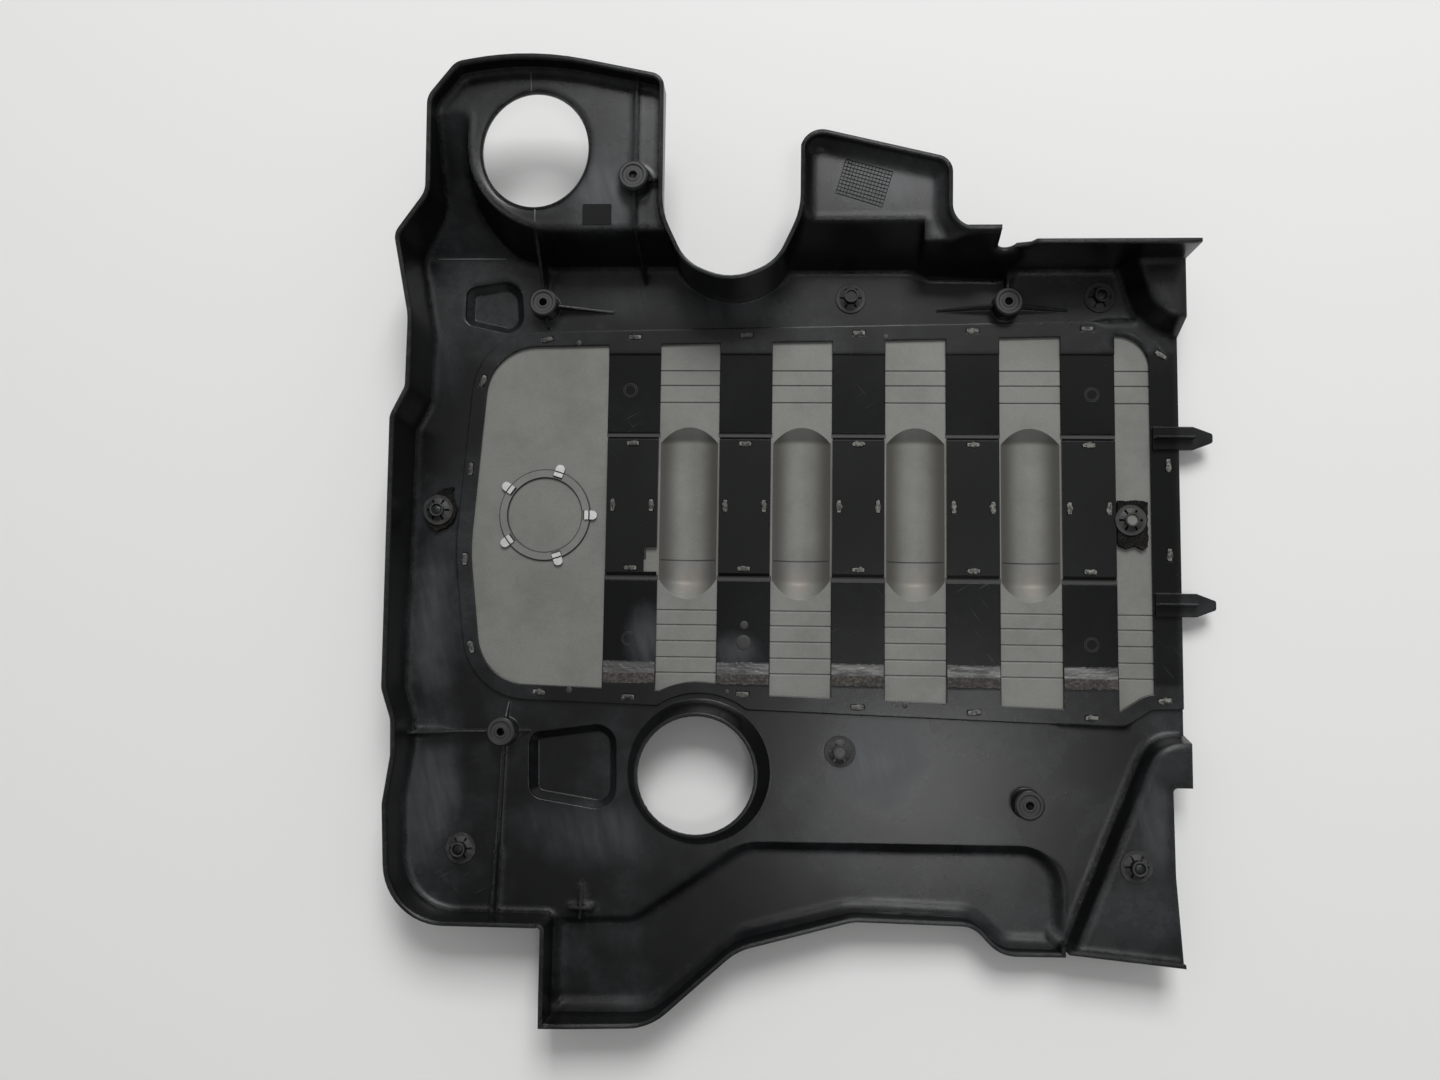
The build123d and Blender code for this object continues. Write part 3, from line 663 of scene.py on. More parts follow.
class FinishShop:
    """Makes the materials of the object."""

    def __init__(self, effects: EffectLibrary) -> None:
        """Keep the shared effects."""
        self.effects = effects

    def plastic(
        self, finish: Plastic, hazes: Sequence[Haze] = (), zones: Sequence[Zone] = (),
        clean: Zone | None = None,
    ) -> Material:
        """Make a moulded plastic.

        Args:
            finish: Its colours and amounts.
            hazes: Patches of dried film, some of which paint sheen.
            zones: Where its inner corners are broadly rounded.
            clean: Where it is less dusty and less glossy.

        Returns:
            The material.
        """
        build = Surface(finish.name, self.effects)
        bevel = build.add("ShaderNodeBevel", samples=8)
        bevel.inputs["Radius"].default_value = finish.edge_radius
        if zones:
            soft = build.most([build.zone(zone) for zone in zones])
            reach = build.math("ADD", build.product(soft, finish.soft_radius), finish.edge_radius)
            build.feed(reach, bevel.inputs["Radius"])
        rounded = bevel.outputs[0]
        true_normal = build.add("ShaderNodeNewGeometry").outputs["True Normal"]
        dust = build.effect(Effect.DUST, Normal=rounded, Amount=finish.dust)
        build.finish(Specular_IOR_Level=finish.specular)
        if clean:
            inside = build.zone(clean)
            dust = build.product(dust, build.span(inside, 0.0, 1.0, 1.0, CLEAN_DUST))
            gloss = build.span(inside, 0.0, 1.0, finish.specular, finish.specular * CLEAN_GLOSS)
            build.finish(Specular_IOR_Level=gloss)
        # Dust and film, where some patches paint sheen.
        film_and_sheen = build.most([dust, *build.hazes(hazes)])
        scuffs = build.effect(Effect.SCUFFS, Amount=finish.scuffs)
        bend = build.add("ShaderNodeVectorMath", operation="DOT_PRODUCT", in_0=rounded, in_1=true_normal)
        edge = build.span(bend.outputs["Value"], 0.99, 0.8, 0.0, finish.edge_wear)
        edge = build.product(edge, build.span(build.noise(build.where, 160.0, 4.0, 0.7), 0.4, 0.65))
        colour = build.mix(film_and_sheen, finish.base, finish.dusty_and_sheen)
        colour = build.mix(build.most([scuffs, edge]), colour, finish.worn)
        rough = build.span(film_and_sheen, 0.0, 1.0, finish.roughness, finish.dusty_roughness)
        build.relief(build.effect(Effect.GRAIN, Wave=3.0), finish.grain * GRAIN_DEPTH, rounded)
        return build.finish(Base_Color=colour, Roughness=rough)

    def paint(self, finish: Paint, tints: Sequence[Haze]) -> Material:
        """Make the flaked grey paint of the trim panel.

        Args:
            finish: Its colours and amounts.
            tints: Warm patches at the tubes' ends: partly a stain, partly painted light.

        Returns:
            The material.
        """
        build = Surface(finish.name, self.effects)
        flakes = build.span(build.noise(build.where, 1500.0, 2.0, 0.7), 0.5, 0.74, 0.0, 0.4)
        cloud = build.span(build.noise(build.where, 26.0, 6.0, 0.66), 0.36, 0.72, 0.0, 0.34)
        colour = build.mix(flakes, finish.base, finish.flake)
        colour = build.mix(cloud, colour, finish.stain_and_shade)
        # Warm patches at the tube ends: a stain and painted light.
        colour = build.mix(build.most(build.hazes(tints)), colour, finish.tint)
        # Painted shade: the tubes' leaning sides are darkened with the stain colour.
        tilt = build.add("ShaderNodeSeparateXYZ", in_0=build.add("ShaderNodeNewGeometry").outputs["Normal"])
        leaning = build.math("ABSOLUTE", tilt.outputs["X"])
        colour = build.mix(build.span(leaning, 0.18, 0.55, 0.0, 0.9), colour, finish.stain_and_shade)
        # Painted shade: dark lines across the tubes, in the gaps at the plates' ends, around the seat and in
        # the tabs' slots.
        colour = build.mix(build.shade_lines(finish), colour, finish.line)
        rough = build.span(flakes, 0.0, 0.4, finish.roughness, finish.roughness - 0.1)
        bevel = build.add("ShaderNodeBevel", samples=6)
        reach = build.span(build.parts["Z"], 8.2 * MM, 9.2 * MM, 4.0 * MM, 0.4 * MM)
        build.feed(reach, bevel.inputs["Radius"])
        build.relief(build.effect(Effect.GRAIN, Wave=1.0), 0.03 * MM, bevel.outputs[0])
        return build.finish(Base_Color=colour, Roughness=rough, Metallic=finish.metallic)

    def metal(self, finish: Metal) -> Material:
        """Make a bare or coated metal.

        Args:
            finish: Its colours and gloss.

        Returns:
            The material.
        """
        build = Surface(finish.name, self.effects)
        wear = build.span(build.noise(build.where, 240.0, 4.0, 0.65), 0.42, 0.7)
        colour = build.mix(wear, finish.base, finish.worn)
        # Painted shade: a dark ring in the tabs' bend.
        if finish.crease:
            far, _ = build.around_disc()
            colour = build.mix(build.near(far, finish.crease, 0.5 * MM), colour, PAINTED_BEND_SHADE)
        rough = build.span(wear, 0.0, 1.0, finish.roughness, finish.roughness + 0.2)
        build.relief(build.noise(build.where, 800.0, 3.0), 0.016 * MM)
        return build.finish(Base_Color=colour, Roughness=rough, Metallic=finish.metallic)

    def foam(self, finish: Foam) -> Material:
        """Make the dark open-cell foam.

        Args:
            finish: Its colours and amounts.

        Returns:
            The material.
        """
        build = Surface(finish.name, self.effects)
        cells = build.add("ShaderNodeTexVoronoi")
        build.feed(build.where, cells.inputs["Vector"])
        cells.inputs["Scale"].default_value = finish.cells
        pores = build.span(cells.outputs["Distance"], 0.1, 0.7)
        tint = build.span(build.noise(build.where, 90.0, 4.0, 0.6), 0.3, 0.7)
        # Darker pores: painted shade in the cells.
        colour = build.mix(pores, finish.pore_shade, build.mix(tint, finish.dark, finish.light))
        build.relief(pores, finish.depth)
        return build.finish(Base_Color=colour, Roughness=finish.roughness, Specular_IOR_Level=finish.specular)

    def residue(self, finish: Residue) -> Material:
        """Make the dried glue and the brown crumbs below it on the lower tongues.

        Args:
            finish: Their colours and places.

        Returns:
            The material.
        """
        build = Surface(finish.name, self.effects)
        streaky = build.stretched(build.where, 0.0, (6.0, 1.0, 1.0))
        bands = build.span(build.noise(streaky, 330.0, 5.0, 0.6), 0.32, 0.68)
        bright = build.span(build.parts["X"], *finish.paling, 0.35, 1.0)
        colour = build.mix(build.product(bands, bright), finish.dull, finish.pale)
        speck = build.span(build.noise(build.where, 520.0, 4.0, 0.65), 0.42, 0.66)
        low = build.span(build.parts["Y"], *finish.crumbs_from)
        colour = build.mix(low, colour, build.mix(speck, finish.crumb, finish.speck))
        # Painted shade: a dark line along the strip's top edge.
        colour = build.mix(build.near(build.parts["Y"], finish.top_edge, 0.7 * MM), colour, finish.painted_edge_shade)
        build.relief(build.noise(streaky, 900.0, 4.0, 0.6), finish.depth)
        return build.finish(Base_Color=colour, Roughness=build.span(low, 0.0, 1.0, 0.42, 0.75))

    def stake(self, finish: Stake) -> Material:
        """Make the melted plastic of the stakes.

        Args:
            finish: Its colours and places.

        Returns:
            The material.
        """
        build = Surface(finish.name, self.effects)
        torn = build.span(build.noise(build.where, 420.0, 4.0, 0.6), 0.4, 0.62)
        share = build.product(torn, build.span(build.parts["X"], *finish.paling, 0.3, 1.0))
        colour = build.mix(share, finish.base, finish.torn)
        build.relief(torn, finish.depth)
        return build.finish(Base_Color=colour, Roughness=build.span(torn, 0.0, 1.0, 0.45, 0.7))


class Bench:
    """Turns finished bmeshes into dressed pieces that ride on the object."""

    @staticmethod
    def piece(
        name: str, mesh: Mesh, material: Material, slot: Slot, smooth: bool = True,
    ) -> Item:
        """Make an object of a bmesh and put it on the object's body.

        Args:
            name: Name of the piece.
            mesh: The finished bmesh, in metres in the part's frame; it is freed.
            material: The piece's material.
            slot: The record's slot that it belongs to; not used.
            smooth: Whether its faces are shaded smooth, with sharp edges kept.

        Returns:
            The new object.
        """
        data = bpy.data.meshes.new(name)
        mesh.to_mesh(data)
        mesh.free()
        data.materials.append(material)
        if smooth:
            data.shade_smooth()
            data.set_sharp_from_angle(angle=SHARP_ANGLE)
        item = bpy.data.objects.new(name, data)
        bpy.context.scene.collection.objects.link(item)
        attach(item, ROOT_BODY)
        LOG.info("%s: %d faces", name, len(data.polygons))
        return item

    @staticmethod
    def dress(node: str, material: Material) -> None:
        """Give a CAD node its material.

        Args:
            node: Name of the node.
            material: The material for all of its faces.
        """
        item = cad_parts[node]
        for place in item.material_slots:
            place.material = material
        if not item.material_slots:
            item.data.materials.append(material)
        LOG.info("%s dressed in %s", node, material.name)

    @staticmethod
    def settle(mesh: Mesh, centre: Place) -> None:
        """Move what was added last to its place.

        Args:
            mesh: The bmesh.
            centre: Where it goes, in metres.
        """
        fresh = [v for v in mesh.verts if not v.tag]
        bmesh.ops.translate(mesh, verts=fresh, vec=centre)
        for vert in fresh:
            vert.tag = True

    @staticmethod
    def turned(
        mesh: Mesh, profile: Sequence[tuple[float, float]], centre: Place, steps: int = 40,
        stretch: Place = (1.0, 1.0, 1.0),
    ) -> None:
        """Spin a closed profile into a ring around an upright axis.

        Args:
            mesh: The bmesh that the ring is added to.
            profile: Radius and height of each corner of the section, in metres, anticlockwise.
            centre: Foot of the axis, in metres.
            steps: Segments of the turn.
            stretch: Stretch of the ring along each axis.
        """
        corners = [mesh.verts.new((radius, 0.0, height)) for radius, height in profile]
        edges = [mesh.edges.new((corner, corners[i - 1])) for i, corner in enumerate(corners)]
        bmesh.ops.spin(
            mesh, geom=corners + edges, cent=(0, 0, 0), axis=(0, 0, 1), angle=math.tau, steps=steps,
            use_merge=True,
        )
        fresh = [v for v in mesh.verts if not v.tag]
        bmesh.ops.scale(mesh, verts=fresh, vec=stretch)
        Bench.settle(mesh, centre)

    @staticmethod
    def close(mesh: Mesh) -> None:
        """Merge doubles and turn the faces outwards."""
        bmesh.ops.remove_doubles(mesh, verts=mesh.verts, dist=MERGE_GAP)
        bmesh.ops.recalc_face_normals(mesh, faces=mesh.faces)


@dataclass
class Retainers:
    """The push-on star washers that stand for the node of the same name."""

    radius: float = 10.6 * MM
    wall: float = 1.2 * MM
    ease: float = 0.3 * MM
    tooth_root: float = 7.9 * MM
    tooth_tip: float = 4.6 * MM
    tooth_lift: float = 0.9 * MM
    tooth_count: int = 6
    tooth_steps: int = 6
    slot_angle: float = math.radians(13)
    places: list[Place] = field(default_factory=list)

    def build(self, material: Material) -> Item:
        """Build all the washers as one piece.

        Args:
            material: Their finish.

        Returns:
            The piece.
        """
        mesh = bmesh.new()
        for centre in self.places:
            self._washer(mesh, centre)
        Bench.close(mesh)
        item = Bench.piece("star_washers", mesh, material, Slot.RETAINER)
        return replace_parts(item, "push_retainers")

    def _washer(self, mesh: Mesh, centre: Place) -> None:
        """Add one washer: a ring with a rolled rim, and teeth that lean up towards the stud.

        Args:
            mesh: The bmesh that it is added to.
            centre: Middle of its underside.
        """
        rim, root, wall, ease = self.radius, self.tooth_root, self.wall, self.ease
        profile = [
            (root, 0.0), (rim - ease, 0.0), (rim, ease), (rim, wall - ease), (rim - ease, wall), (root, wall),
        ]
        Bench.turned(mesh, profile, centre, 48)
        pitch = math.tau / self.tooth_count
        for index in range(self.tooth_count):
            self._tooth(mesh, centre, (index + 0.5) * pitch, pitch - self.slot_angle)

    def _tooth(self, mesh: Mesh, centre: Place, middle: float, width: float) -> None:
        """Add one tooth between the ring and the stud.

        Args:
            mesh: The bmesh that it is added to.
            centre: Middle of the washer's underside.
            middle: Direction of the tooth.
            width: Angle that it covers.
        """
        start = Vector((math.cos(middle - width / 2), math.sin(middle - width / 2), 0.0))
        corners = []
        for radius, low in ((self.tooth_root + self.ease, 0.0), (self.tooth_tip, self.tooth_lift)):
            for height in (low, low + self.wall):
                corners.append(mesh.verts.new(start * radius + Vector((0.0, 0.0, height))))
        section = mesh.faces.new((corners[0], corners[1], corners[3], corners[2]))
        bmesh.ops.spin(
            mesh, geom=[section], cent=(0, 0, 0), axis=(0, 0, 1), angle=width, steps=self.tooth_steps,
            use_duplicate=False,
        )
        Bench.settle(mesh, centre)


@dataclass
class FoamScraps:
    """The torn foam left under two washers."""

    cell: float = 1.1 * MM
    raggedness: float = 0.9 * MM
    nodes: tuple[str, str] = ("foam_scrap_left", "foam_scrap_right")

    def build(self, material: Material) -> None:
        """Build a rough scrap in the place of each foam node.

        Args:
            material: The foam's finish.
        """
        for node in self.nodes:
            item = Bench.piece(f"{node}_torn", self._rough(node), material, Slot.FOAM)
            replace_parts(item, node)

    def _rough(self, node: str) -> Mesh:
        """Divide a copy of a node finely and roughen it.

        Args:
            node: Name of the foam node.

        Returns:
            The rough bmesh.
        """
        mesh = bmesh.new()
        mesh.from_mesh(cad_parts[node].data)
        bmesh.ops.remove_doubles(mesh, verts=mesh.verts, dist=1e-5)
        bmesh.ops.dissolve_limit(mesh, angle_limit=math.radians(2), verts=mesh.verts, edges=mesh.edges)
        bmesh.ops.triangulate(mesh, faces=mesh.faces)
        for _ in range(5):
            longest = [e for e in mesh.edges if e.calc_length() > self.cell]
            if not longest:
                break
            bmesh.ops.subdivide_edges(mesh, edges=longest, cuts=1)
            bmesh.ops.triangulate(mesh, faces=mesh.faces)
        floor = min(v.co.z for v in mesh.verts)
        for vert in mesh.verts:
            sway = noise.noise_vector(vert.co * 260.0) * 0.6 + noise.noise_vector(vert.co * 900.0) * 0.4
            lift = 0.0 if vert.co.z < floor + 0.2 * MM else 1.0
            vert.co += Vector((sway.x, sway.y, -abs(sway.z) * lift)) * self.raggedness
        bmesh.ops.recalc_face_normals(mesh, faces=mesh.faces)
        return mesh


@dataclass
class MeltedStakes:
    """The melted heads of the stakes that hold the panel and its plates."""

    half_length: float = 4.4 * MM
    half_width: float = 1.9 * MM
    half_height: float = 0.9 * MM
    lumpiness: float = 1.1 * MM
    places: list[tuple[float, float, float, float]] = field(default_factory=list)

    def build(self, material: Material) -> Item:
        """Build all the heads as one piece.

        Args:
            material: Their finish.

        Returns:
            The piece.
        """
        mesh = bmesh.new()
        size = Matrix.Diagonal((self.half_length, self.half_width, self.half_height, 1.0))
        for x, y, z, angle in self.places:
            turn = Matrix.Rotation(math.radians(angle), 4, "Z")
            made = bmesh.ops.create_icosphere(
                mesh, subdivisions=3, radius=1.0, matrix=Matrix.Translation((x, y, z)) @ turn @ size,
            )
            for vert in made["verts"]:
                sway = noise.noise_vector(vert.co * 310.0)
                vert.co += Vector((sway.x, sway.y, sway.z * 0.35)) * self.lumpiness
        bmesh.ops.recalc_face_normals(mesh, faces=mesh.faces)
        return Bench.piece("melted_stakes", mesh, material, Slot.PANEL)


@dataclass
class GlueResidue:
    """The strip of dried residue at the root of each lower tongue."""

    bars: tuple[float, ...] = mm(-118.8, -40.4, 38.0, 116.4, 194.8)
    width: float = 35.6 * MM
    top: float = -83.0 * MM
    bottom: float = -98.4 * MM
    low: float = 10.75 * MM
    slope: float = 1.3 / 16.0
    wall: float = 0.35 * MM
    lumps: float = 0.5 * MM

    def build(self, material: Material) -> Item:
        """Build all the strips as one piece.

        Args:
            material: Their finish.

        Returns:
            The piece.
        """
        mesh = bmesh.new()
        middle, half = (self.top + self.bottom) / 2, (self.top - self.bottom) / 2
        size = Matrix.Diagonal((self.width / 2, half, 1.0, 1.0))
        for bar in self.bars:
            place = Matrix.Translation((bar, middle, 0.0))
            made = bmesh.ops.create_grid(mesh, x_segments=48, y_segments=24, size=1.0, matrix=place @ size)
            for vert in made["verts"]:
                self._rest(vert, bar, middle)
        bmesh.ops.recalc_face_normals(mesh, faces=mesh.faces)
        bmesh.ops.solidify(mesh, geom=mesh.faces[:], thickness=self.wall)
        bmesh.ops.recalc_face_normals(mesh, faces=mesh.faces)
        return Bench.piece("dried_residue", mesh, material, Slot.COVER)

    def _rest(self, vert: bmesh.types.BMVert, bar: float, middle: float) -> None:
        """Lay one point of a strip on the tongue, with a wavy edge and lumps.

        Args:
            vert: The point.
            bar: Middle of the tongue.
            middle: Middle of the strip.
        """
        wave = noise.noise(Vector((vert.co.x * 130.0, bar * 50.0, 0.0)))
        if vert.co.y < middle:
            vert.co.y += abs(wave) * 2.4 * MM * (middle - vert.co.y) / (middle - self.bottom)
        climb = max(self.top - vert.co.y, 0.0) * self.slope
        lump = abs(noise.noise(Vector((vert.co.x * 300.0, vert.co.y * 900.0, bar * 50.0))))
        vert.co.z = self.low + self.wall + climb + lump * self.lumps


@dataclass
class BentTabs:
    """The ends of the disc's tabs: an upright lug beside each slot, and a rounded end bent outwards."""

    width: float = 6.2 * MM
    lug: tuple[float, float] = mm(28.2, 31.1)
    end: tuple[float, float] = mm(31.3, 36.8)
    low: float = 11.05 * MM
    lug_top: float = 12.5 * MM
    end_top: float = 12.05 * MM

    def build(self, material: Material) -> Item:
        """Build all the tabs as one piece.

        Args:
            material: Their finish.

        Returns:
            The piece.
        """
        mesh = bmesh.new()
        self._block(mesh, self.end, self.end_top)
        outer = [e for e in mesh.edges if all(v.co.x > self.end[1] - MM for v in e.verts)]
        upright = [e for e in outer if abs(e.verts[0].co.z - e.verts[1].co.z) > UPRIGHT_RISE]
        bmesh.ops.bevel(
            mesh, geom=upright, offset=self.width * 0.47, affect="EDGES", segments=7, profile=0.5,
            material=-1,
        )
        self._block(mesh, self.lug, self.lug_top)
        bmesh.ops.spin(
            mesh, geom=mesh.verts[:] + mesh.edges[:] + mesh.faces[:], cent=(0, 0, 0), axis=(0, 0, 1),
            angle=math.tau * (DISC_TABS - 1) / DISC_TABS, steps=DISC_TABS - 1, use_duplicate=True,
        )
        bmesh.ops.translate(mesh, verts=mesh.verts, vec=DISC_CENTRE)
        bmesh.ops.recalc_face_normals(mesh, faces=mesh.faces)
        return Bench.piece("bent_tabs", mesh, material, Slot.DISC)

    def _block(self, mesh: Mesh, reach: tuple[float, float], top: float) -> None:
        """Add one flat block of the first tab, which points along x from the disc's middle.

        Args:
            mesh: The bmesh that it is added to.
            reach: Where it starts and ends, from the disc's middle.
            top: Height of its top.
        """
        middle = Vector(((reach[0] + reach[1]) / 2, 0.0, (self.low + top) / 2))
        size = Matrix.Diagonal((reach[1] - reach[0], self.width, top - self.low, 1.0))
        bmesh.ops.create_cube(mesh, size=1.0, matrix=Matrix.Translation(middle) @ size)


@dataclass
class MouldedDetail:
    """Small forms of the cover's moulding: rims, rings, pips, seams, a grid and a patch."""

    towers: list[Place] = field(default_factory=list)
    studs: list[Place] = field(default_factory=list)
    tower_radius: float = 9.8 * MM
    tower_bore: float = 2.75 * MM
    stud_rim: float = 4.9 * MM
    stud_hollow: float = 3.6 * MM
    rings: tuple[Place, ...] = (
        mm(-119.5, -67.8, 10.7), mm(-121.6, 106.1, 10.7),
        mm(195.6, -68.0, 10.7), mm(197.8, 103.7, 10.7),
    )
    pips: tuple[tuple[Place, float], ...] = (
        (mm(-39.8, -57.6, 10.7), 2.9 * MM), (mm(-40.1, -69.6, 10.7), 5.2 * MM),
        (mm(-158.8, 139.7, 12.0), 2.0 * MM), (mm(56.7, 144.0, 12.0), 2.0 * MM),
        (mm(70.0, -110.9, 12.0), 1.8 * MM), (mm(-50.9, -103.4, 12.0), 1.8 * MM),
        (mm(-159.8, -103.7, 12.0), 2.2 * MM),
    )
    seams: tuple[tuple[Place, Place], ...] = (
        (mm(-188.3, 316.5, 59.0), mm(-187.4, 302.0, 59.0)),
        (mm(-182.9, 220.5, 59.0), mm(-182.6, 210.7, 59.0)),
        (mm(-262.0, 201.2, 9.6), mm(-213.0, 201.2, 9.6)),
    )
    opening: Place = mm(-183.557, 261.163, 59.0)
    opening_radii: tuple[float, float] = mm(36.3, 40.0)
    patch_low: Place = mm(-150.4, 208.7, 58.9)
    patch_high: Place = mm(-130.7, 223.1, 59.35)
    patch_ease: float = 1.0 * MM
    ring_radii: tuple[float, float] = mm(5.0, 3.9)
    ring_wall: float = 0.35 * MM
    ring_span: tuple[float, float] = mm(-0.1, 0.25)
    pip_rise: float = 0.35 * MM
    seam_line: tuple[float, float] = mm(1.0, 0.9)
    seam_ease: float = 0.25 * MM
    grid_corners: tuple[Place, ...] = (
        mm(26.3, 253.2, 59.0), mm(57.5, 244.0, 59.0),
        mm(50.3, 220.0, 59.0), mm(19.7, 229.8, 59.0),
    )
    grid_cells: tuple[int, int] = (14, 10)
    grid_line: tuple[float, float] = mm(0.4, 0.5)

    def build(self, black: Material, worn: Material, seam: Material, mark: Material) -> None:
        """Build every small form as a piece of its own.

        Args:
            black: Finish of the cover.
            worn: Finish of the rubbed tops of towers and studs.
            seam: Finish of the pale ridges, whose paleness is a painted highlight.
            mark: Finish of the dull marks.
        """
        forms = (
            ("tower_rims", self._tower_rims, worn, True),
            ("stud_rims", self._stud_rims, worn, True),
            ("ejector_marks", self._rings_and_pips, worn, True),
            ("opening_lip", self._opening_lip, black, True),
            ("seam_ridges", self._seams, seam, True),
            ("dull_patch", self._patch, mark, True),
            ("moulded_grid", self._grid, mark, False),
        )
        for name, shape, material, smooth in forms:
            mesh = bmesh.new()
            shape(mesh)
            Bench.close(mesh)
            Bench.piece(name, mesh, material, Slot.COVER, smooth)

    def _tower_rims(self, mesh: Mesh) -> None:
        """Add the stepped ring on top of each tower.

        Args:
            mesh: The bmesh that they are added to.
        """
        outer, bore = self.tower_radius, self.tower_bore
        profile = [
            (bore, -0.2 * MM), (outer - 0.5 * MM, -0.2 * MM), (outer - 0.5 * MM, 0.6 * MM),
            (outer - 1.1 * MM, 1.2 * MM), (outer - 2.6 * MM, 1.2 * MM), (outer - 3.2 * MM, 0.3 * MM),
            (bore + 1.6 * MM, 0.3 * MM), (bore + 1.3 * MM, 0.7 * MM), (bore, 0.7 * MM),
        ]
        for place in self.towers:
            Bench.turned(mesh, profile, place)

    def _stud_rims(self, mesh: Mesh) -> None:
        """Add the raised rim around the hollow end of each stud.

        Args:
            mesh: The bmesh that they are added to.
        """
        outer, inner = self.stud_rim, self.stud_hollow
        profile = [
            (inner, -0.3 * MM), (outer, -0.3 * MM), (outer, 1.1 * MM), (outer - 0.3 * MM, 1.4 * MM),
            (inner + 0.3 * MM, 1.4 * MM), (inner, 1.1 * MM),
        ]
        for place in self.studs:
            Bench.turned(mesh, profile, place, 32)

    def _rings_and_pips(self, mesh: Mesh) -> None:
        """Add the double rings and the round pips left by the mould's ejector pins.

        Args:
            mesh: The bmesh that they are added to.
        """
        low, high = self.ring_span
        for place in self.rings:
            for outer in self.ring_radii:
                inner = outer - self.ring_wall
                Bench.turned(mesh, [(inner, low), (outer, low), (outer, high), (inner, high)], place, 36)
        for place, radius in self.pips:
            size = Matrix.Diagonal((radius, radius, self.pip_rise, 1.0))
            bmesh.ops.create_uvsphere(
                mesh, u_segments=24, v_segments=12, radius=1.0, matrix=Matrix.Translation(place) @ size,
            )

    def _opening_lip(self, mesh: Mesh) -> None:
        """Add the low lip around the oval opening.

        Args:
            mesh: The bmesh that it is added to.
        """
        mean = sum(self.opening_radii) / 2
        profile = [
            (mean, -0.3 * MM), (mean + 1.8 * MM, -0.3 * MM), (mean + 1.6 * MM, 0.4 * MM),
            (mean + 1.0 * MM, 0.8 * MM), (mean + 0.4 * MM, 0.8 * MM), (mean, 0.4 * MM),
        ]
        stretch = (self.opening_radii[0] / mean, self.opening_radii[1] / mean, 1.0)
        Bench.turned(mesh, profile, self.opening, 96, stretch)

    def _seams(self, mesh: Mesh) -> None:
        """Add the thin ridges at the opening and at the foot of the ramp.

        Args:
            mesh: The bmesh that they are added to.
        """
        for start, end in self.seams:
            self._line(mesh, Vector(start), Vector(end), self.seam_line)
        bmesh.ops.bevel(
            mesh, geom=mesh.edges[:], offset=self.seam_ease, affect="EDGES", segments=2, profile=0.5,
            material=-1,
        )

    def _patch(self, mesh: Mesh) -> None:
        """Add the bare dull patch of the first platform.

        Args:
            mesh: The bmesh that it is added to.
        """
        low, high = Vector(self.patch_low), Vector(self.patch_high)
        size = Matrix.Diagonal((*(high - low), 1.0))
        bmesh.ops.create_cube(mesh, size=1.0, matrix=Matrix.Translation((low + high) / 2) @ size)
        upright = [e for e in mesh.edges if abs(e.verts[0].co.z - e.verts[1].co.z) > UPRIGHT_RISE]
        bmesh.ops.bevel(
            mesh, geom=upright, offset=self.patch_ease, affect="EDGES", segments=4, profile=0.5, material=-1,
        )

    def _grid(self, mesh: Mesh) -> None:
        """Add the bare grid of thin raised lines of the second platform.

        Args:
            mesh: The bmesh that it is added to.
        """
        a, b, c, d = (Vector(corner) for corner in self.grid_corners)
        columns, rows = self.grid_cells
        for count, (start, start_to, end, end_to) in ((columns, (a, b, d, c)), (rows, (a, d, b, c))):
            for index in range(count + 1):
                share = index / count
                self._line(mesh, start.lerp(start_to, share), end.lerp(end_to, share), self.grid_line)

    @staticmethod
    def _line(mesh: Mesh, start: Vector, end: Vector, section: tuple[float, float]) -> None:
        """Add one raised line between two points of a floor.

        Args:
            mesh: The bmesh that it is added to.
            start: Where it starts.
            end: Where it ends.
            section: Its width and its height, half of which is under the floor.
        """
        along = end - start
        turn = Matrix.Rotation(math.atan2(along.y, along.x), 4, "Z")
        size = Matrix.Diagonal((along.length, *section, 1.0))
        bmesh.ops.create_cube(mesh, size=1.0, matrix=Matrix.Translation((start + end) / 2) @ turn @ size)


@dataclass(frozen=True)
class Lamp:
    """A square lamp that looks at the part: its name, place, side and watts."""

    name: str
    place: Place
    size: float
    power: float


